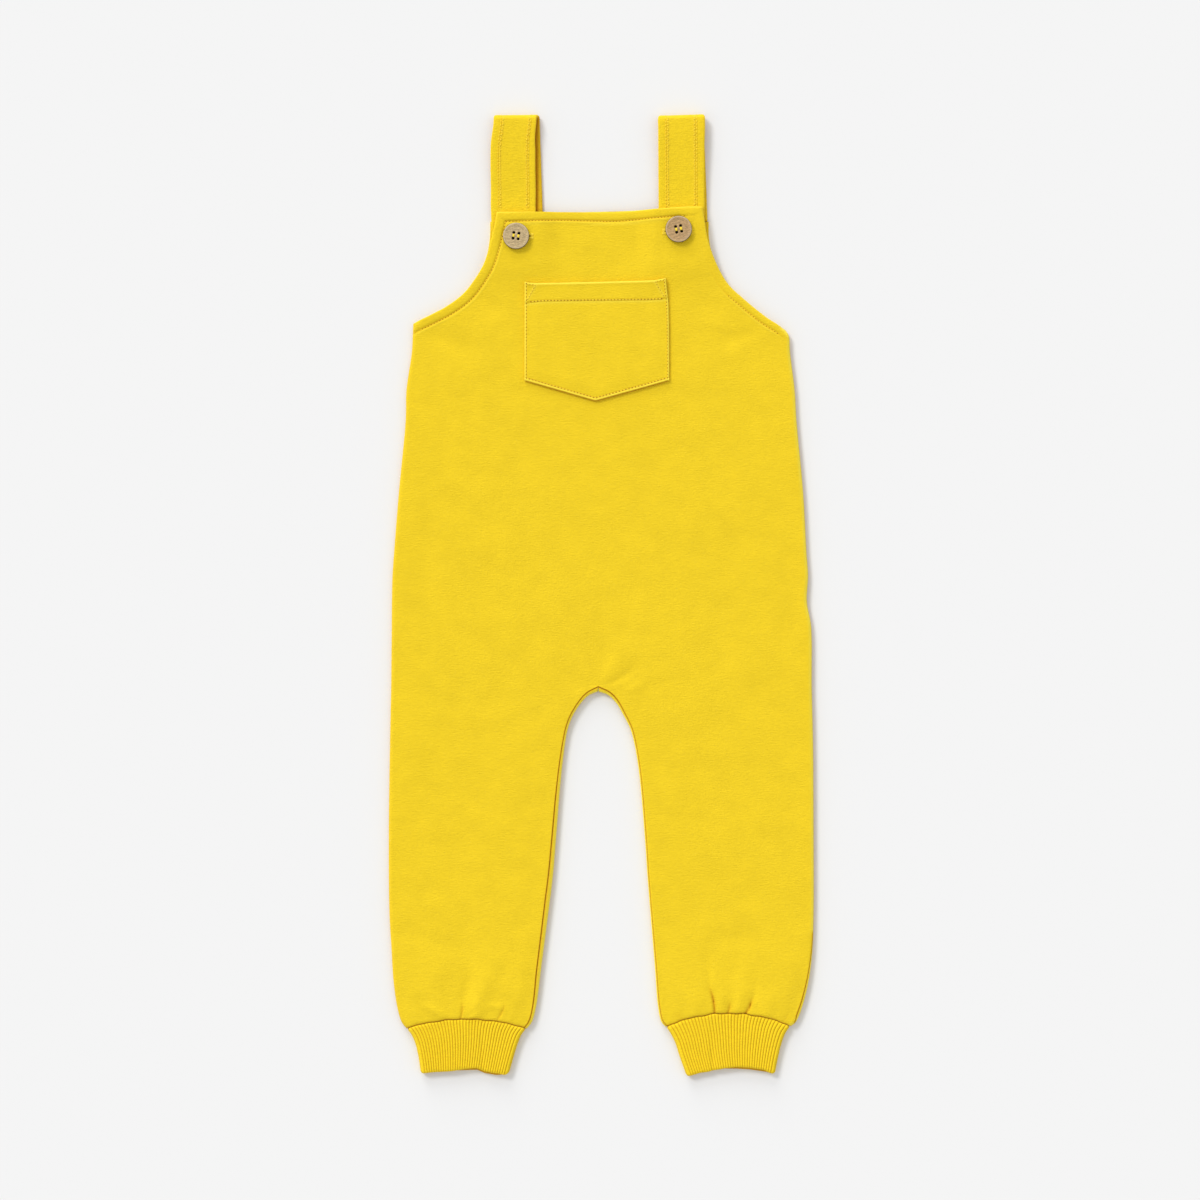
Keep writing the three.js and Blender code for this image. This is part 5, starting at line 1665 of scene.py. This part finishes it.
def knit_grain():
    """The knitted face that fleece and rib share, and the painted shade and highlight that Fold
    blends in.
    """
    group = bpy.data.node_groups.get("Knit grain")
    if group:
        return group
    group = bpy.data.node_groups.new("Knit grain", "ShaderNodeTree")
    colour, number = "NodeSocketColor", "NodeSocketFloat"
    for name, kind, value in (
            ("Colour", colour, (1, 1, 1, 1)), ("Fold colour", colour, (0, 0, 0, 1)),
            ("Edge colour", colour, (1, 1, 1, 1)), ("Fold", number, 0), ("Streaks", number, 0.1),
            ("Mottling", number, 0.1), ("Columns", number, 0.5)):
        group.interface.new_socket(
            name=name, in_out="INPUT", socket_type=kind).default_value = value
    for name, kind in (("Colour", colour), ("Height", number), ("Roughness", number)):
        group.interface.new_socket(name=name, in_out="OUTPUT", socket_type=kind)
    entry, leave = group.nodes.new("NodeGroupInput").outputs, group.nodes.new("NodeGroupOutput")
    streaks = stretched_noise(group, (0.0034, 0.00085, 0.004), 3, 0.6)
    specks = stretched_noise(group, (0.0011, 0.0009, 0.0011), 2)
    mottle = stretched_noise(group, (0.016, 0.012, 0.02), 3, 0.55)
    columns = node(group, "TexWave", {
        "Vector": node(group, "TexCoord").outputs["Object"], "Scale": 20 / math.pi / STITCH_COLUMN,
        "Distortion": 1.6, "Detail": 1, "Detail Scale": 0.5})
    centred = [sums(group, "SUBTRACT", value, 0.5) for value in (streaks, mottle, specks)]
    light = sums(group, "ADD", sums(group, "MULTIPLY", centred[0], entry["Streaks"]),
                 sums(group, "MULTIPLY", centred[1], entry["Mottling"]))
    shaded = node(group, "HueSaturation", {
        "Color": entry["Colour"], "Value": sums(group, "ADD", light, 1)}).outputs["Color"]
    # Painted shade where Fold is positive, painted highlight where it is negative
    with_painted_shade = blend(group, entry["Fold"], shaded, entry["Fold colour"])
    edge = sums(group, "MULTIPLY", entry["Fold"], -1)
    woven = sums(group, "MULTIPLY", columns.outputs["Fac"], entry["Columns"])
    grain = sums(group, "ADD", streaks, sums(group, "MULTIPLY", specks, 0.6))
    feed(group, leave, {
        "Colour": blend(group, edge, with_painted_shade, entry["Edge colour"]),
        "Height": sums(group, "ADD", grain, woven),
        "Roughness": scaled(group, centred[2], 0.2, 0.88)})
    return group


def new_material(name):
    made = bpy.data.materials.new(name)
    made.use_nodes = True
    return made, made.node_tree, made.node_tree.nodes["Principled BSDF"]


def bumped(tree, height, strength, distance):
    return node(tree, "Bump", {
        "Height": height, "Strength": strength, "Distance": distance}).outputs["Normal"]


def cloth_material(name, colour, cloth, streaks, mottling, columns, depth):
    """A matt brushed cotton built on the knit grain."""
    if name in bpy.data.materials:
        return bpy.data.materials[name]
    made, tree, shader = new_material(name)
    grain = tree.nodes.new("ShaderNodeGroup")
    grain.node_tree = knit_grain()
    feed(tree, grain, {
        "Colour": colour, "Fold colour": cloth.painted_shade_colour, "Edge colour": cloth.painted_highlight_colour,
        "Fold": node(tree, "Attribute", attribute_name="fold").outputs["Fac"],
        "Streaks": streaks, "Mottling": mottling, "Columns": columns})
    feed(tree, shader, {
        "Base Color": grain.outputs["Colour"], "Roughness": grain.outputs["Roughness"],
        "Normal": bumped(tree, grain.outputs["Height"], 1, depth),
        "Specular IOR Level": 0.18, "Sheen Weight": cloth.sheen, "Sheen Roughness": 0.45,
        "Sheen Tint": (1, 0.86, 0.4, 1)})
    return made


def fleece(cloth):
    return cloth_material(
        "Sweatshirt fleece", cloth.fleece_colour, cloth,
        streaks=0.14, mottling=0.16, columns=0.3, depth=0.00034)


def fibres(name, colour, spacing, value, rough, relief=None):
    """Fine fibres: value and rough each waver by their first number from their second."""
    if name in bpy.data.materials:
        return bpy.data.materials[name]
    made, tree, shader = new_material(name)
    fuzz = stretched_noise(tree, [spacing] * 3, 1)
    shade = node(tree, "HueSaturation", {"Color": colour, "Value": scaled(tree, fuzz, *value)})
    feed(tree, shader, {
        "Base Color": shade.outputs[0], "Roughness": scaled(tree, fuzz, *rough)})
    if relief:
        feed(tree, shader, {"Normal": bumped(tree, fuzz, *relief)})
    return made


def thread(sewing):
    return fibres("Sewing thread", sewing.thread_colour, 0.0003, (0.3, 0.85), (0.2, 0.5),
                  relief=(0.6, 0.00006))


def hole_shade(name, colour):
    return fibres(name, colour, 0.0004, (1, 0.5), (0.1, 0.9))


def coconut(side, settings, radius, thick):
    """Polished coconut shell: streaked brown face, pale rim, dark rind at the side, painted shade in
    the holes.
    """
    made, tree, shader = new_material(f"Coconut shell {side}")
    coords = node(tree, "TexCoord").outputs["Object"]
    grain = stretched_noise(tree, (0.004, 0.0008, 0.002), 4, 0.65)
    flecks = stretched_noise(tree, (0.0011, 0.0004, 0.001), 3, 0.7)
    tone = sums(tree, "ADD", sums(tree, "MULTIPLY", grain, 1.4),
                sums(tree, "MULTIPLY", flecks, 1.9))
    face = node(tree, "HueSaturation", {
        "Color": getattr(settings, side + "_colour"), "Value": sums(tree, "ADD", tone, -0.65)})
    flat = node(tree, "VectorMath", {0: coords, 1: (1 / radius, 1 / radius, 0)},
                operation="MULTIPLY")
    reach = node(tree, "VectorMath", {0: flat.outputs[0]}, operation="LENGTH")
    ramp = node(tree, "ValToRGB", {"Fac": reach.outputs["Value"]})
    for position, level in ((0.86, 0), (0.91, 0.25), (0.965, 0.4), (0.985, 1)):
        ramp.color_ramp.elements.new(position).color = (level, level, level, 1)
    rim = ramp.outputs["Color"]
    pale = blend(tree, sums(tree, "MULTIPLY", rim, 1.2), face.outputs[0], settings.rim_colour)
    low = node(tree, "SeparateXYZ", {0: coords}).outputs["Z"]
    # Below the dished face everything takes the rind's dark colour: the side wall's own rind, and
    # painted shade on the hole walls
    sunk = sums(tree, "MULTIPLY", sums(tree, "SUBTRACT", (thick - DISH - 0.35) * MM, low), 5000)
    wall = sums(tree, "MULTIPLY", sums(tree, "SUBTRACT", rim, 0.6), 4)
    feed(tree, shader, {
        "Base Color": blend(
            tree, sums(tree, "MAXIMUM", wall, sunk), pale, settings.rind_and_hole_shade_colour),
        "Roughness": scaled(tree, flecks, 0.25, 0.38), "Specular IOR Level": 0.4,
        "Normal": bumped(tree, grain, 0.7, 0.0001)})
    return made


class DUNGAREES_OT_stage(bpy.types.Operator):
    """Sets the table, the studio light and the camera over the garment"""

    bl_idname = "dungarees.stage"
    bl_label = "Stage"

    def execute(self, context):
        stage = context.scene.dungarees_stage
        scene = context.scene
        scene.view_settings.view_transform = "Standard"
        scene.view_settings.look = "None"
        world = bpy.data.worlds.new("Studio")
        scene.world = world
        world.use_nodes = True
        feed(world.node_tree, world.node_tree.nodes["Background"], {
            "Color": (1, 1, 1, 1), "Strength": stage.fill_strength})

        table_top, _, shader = new_material("Table top")
        feed(table_top.node_tree, shader, {
            "Base Color": stage.floor_colour, "Roughness": 1, "Specular IOR Level": 0})
        below = CAD_BOX[0].z - 0.00005
        corners = [(x * FLOOR, y * FLOOR, below) for x, y in ((-1, -1), (1, -1), (1, 1), (-1, 1))]
        floor = hung("floor", bpy.data.meshes.new("floor"))
        floor.data.from_pydata(corners, [], [(0, 1, 2, 3)])
        floor.data.materials.append(table_top)

        for name in ("key", "rake"):
            strength, softness, height, side = (
                getattr(stage, f"{name}_{part}")
                for part in ("strength", "softness", "elevation", "azimuth"))
            lamp = hung(name, bpy.data.lights.new(name, "SUN"))
            lamp.data.energy, lamp.data.angle = strength, softness
            towards = Vector((
                math.cos(height) * math.cos(side), math.cos(height) * math.sin(side),
                math.sin(height)))
            lamp.rotation_euler = towards.to_track_quat("Z", "Y").to_euler()

        scene.camera = hung("camera", bpy.data.cameras.new("camera"))
        scene.camera.data.lens, scene.camera.data.sensor_width = stage.lens, 36
        scene.camera.location = CAMERA_PLACE
        return {"FINISHED"}


class DUNGAREES_PT_panel(bpy.types.Panel):
    """The garment's pieces and their settings"""

    bl_label = "Kids Dungarees"
    bl_idname = "DUNGAREES_PT_panel"
    bl_space_type = "VIEW_3D"
    bl_region_type = "UI"
    bl_category = "Dungarees"

    def draw(self, context):
        layout = self.layout
        for name in SETTINGS:
            box = layout.box()
            settings = getattr(context.scene, name)
            for key in settings.bl_rna.properties.keys():
                if key not in ("rna_type", "name"):
                    box.prop(settings, key)
        for operator in OPERATORS:
            layout.operator(operator.bl_idname)


SETTINGS = {
    "dungarees_cloth": ClothSettings,
    "dungarees_ribs": RibSettings,
    "dungarees_sewing": SewingSettings,
    "dungarees_buttons": ButtonSettings,
    "dungarees_stage": StageSettings,
}
OPERATORS = (
    DUNGAREES_OT_stage, DUNGAREES_OT_back, DUNGAREES_OT_straps, DUNGAREES_OT_front,
    DUNGAREES_OT_pocket, DUNGAREES_OT_cuffs, DUNGAREES_OT_stitching, DUNGAREES_OT_buttons)


def register():
    for made in (*SETTINGS.values(), *OPERATORS, DUNGAREES_PT_panel):
        bpy.utils.register_class(made)
    for name, settings in SETTINGS.items():
        setattr(bpy.types.Scene, name, PointerProperty(type=settings))


def unregister():
    for name in SETTINGS:
        delattr(bpy.types.Scene, name)
    for made in reversed((*SETTINGS.values(), *OPERATORS, DUNGAREES_PT_panel)):
        bpy.utils.unregister_class(made)


def main():
    register()
    bpy.ops.dungarees.stage()
    bpy.ops.dungarees.back()
    bpy.ops.dungarees.straps()
    bpy.ops.dungarees.front()
    bpy.ops.dungarees.pocket()
    bpy.ops.dungarees.cuffs()
    bpy.ops.dungarees.stitching()
    bpy.ops.dungarees.buttons()


if __name__ == "__main__":
    main()
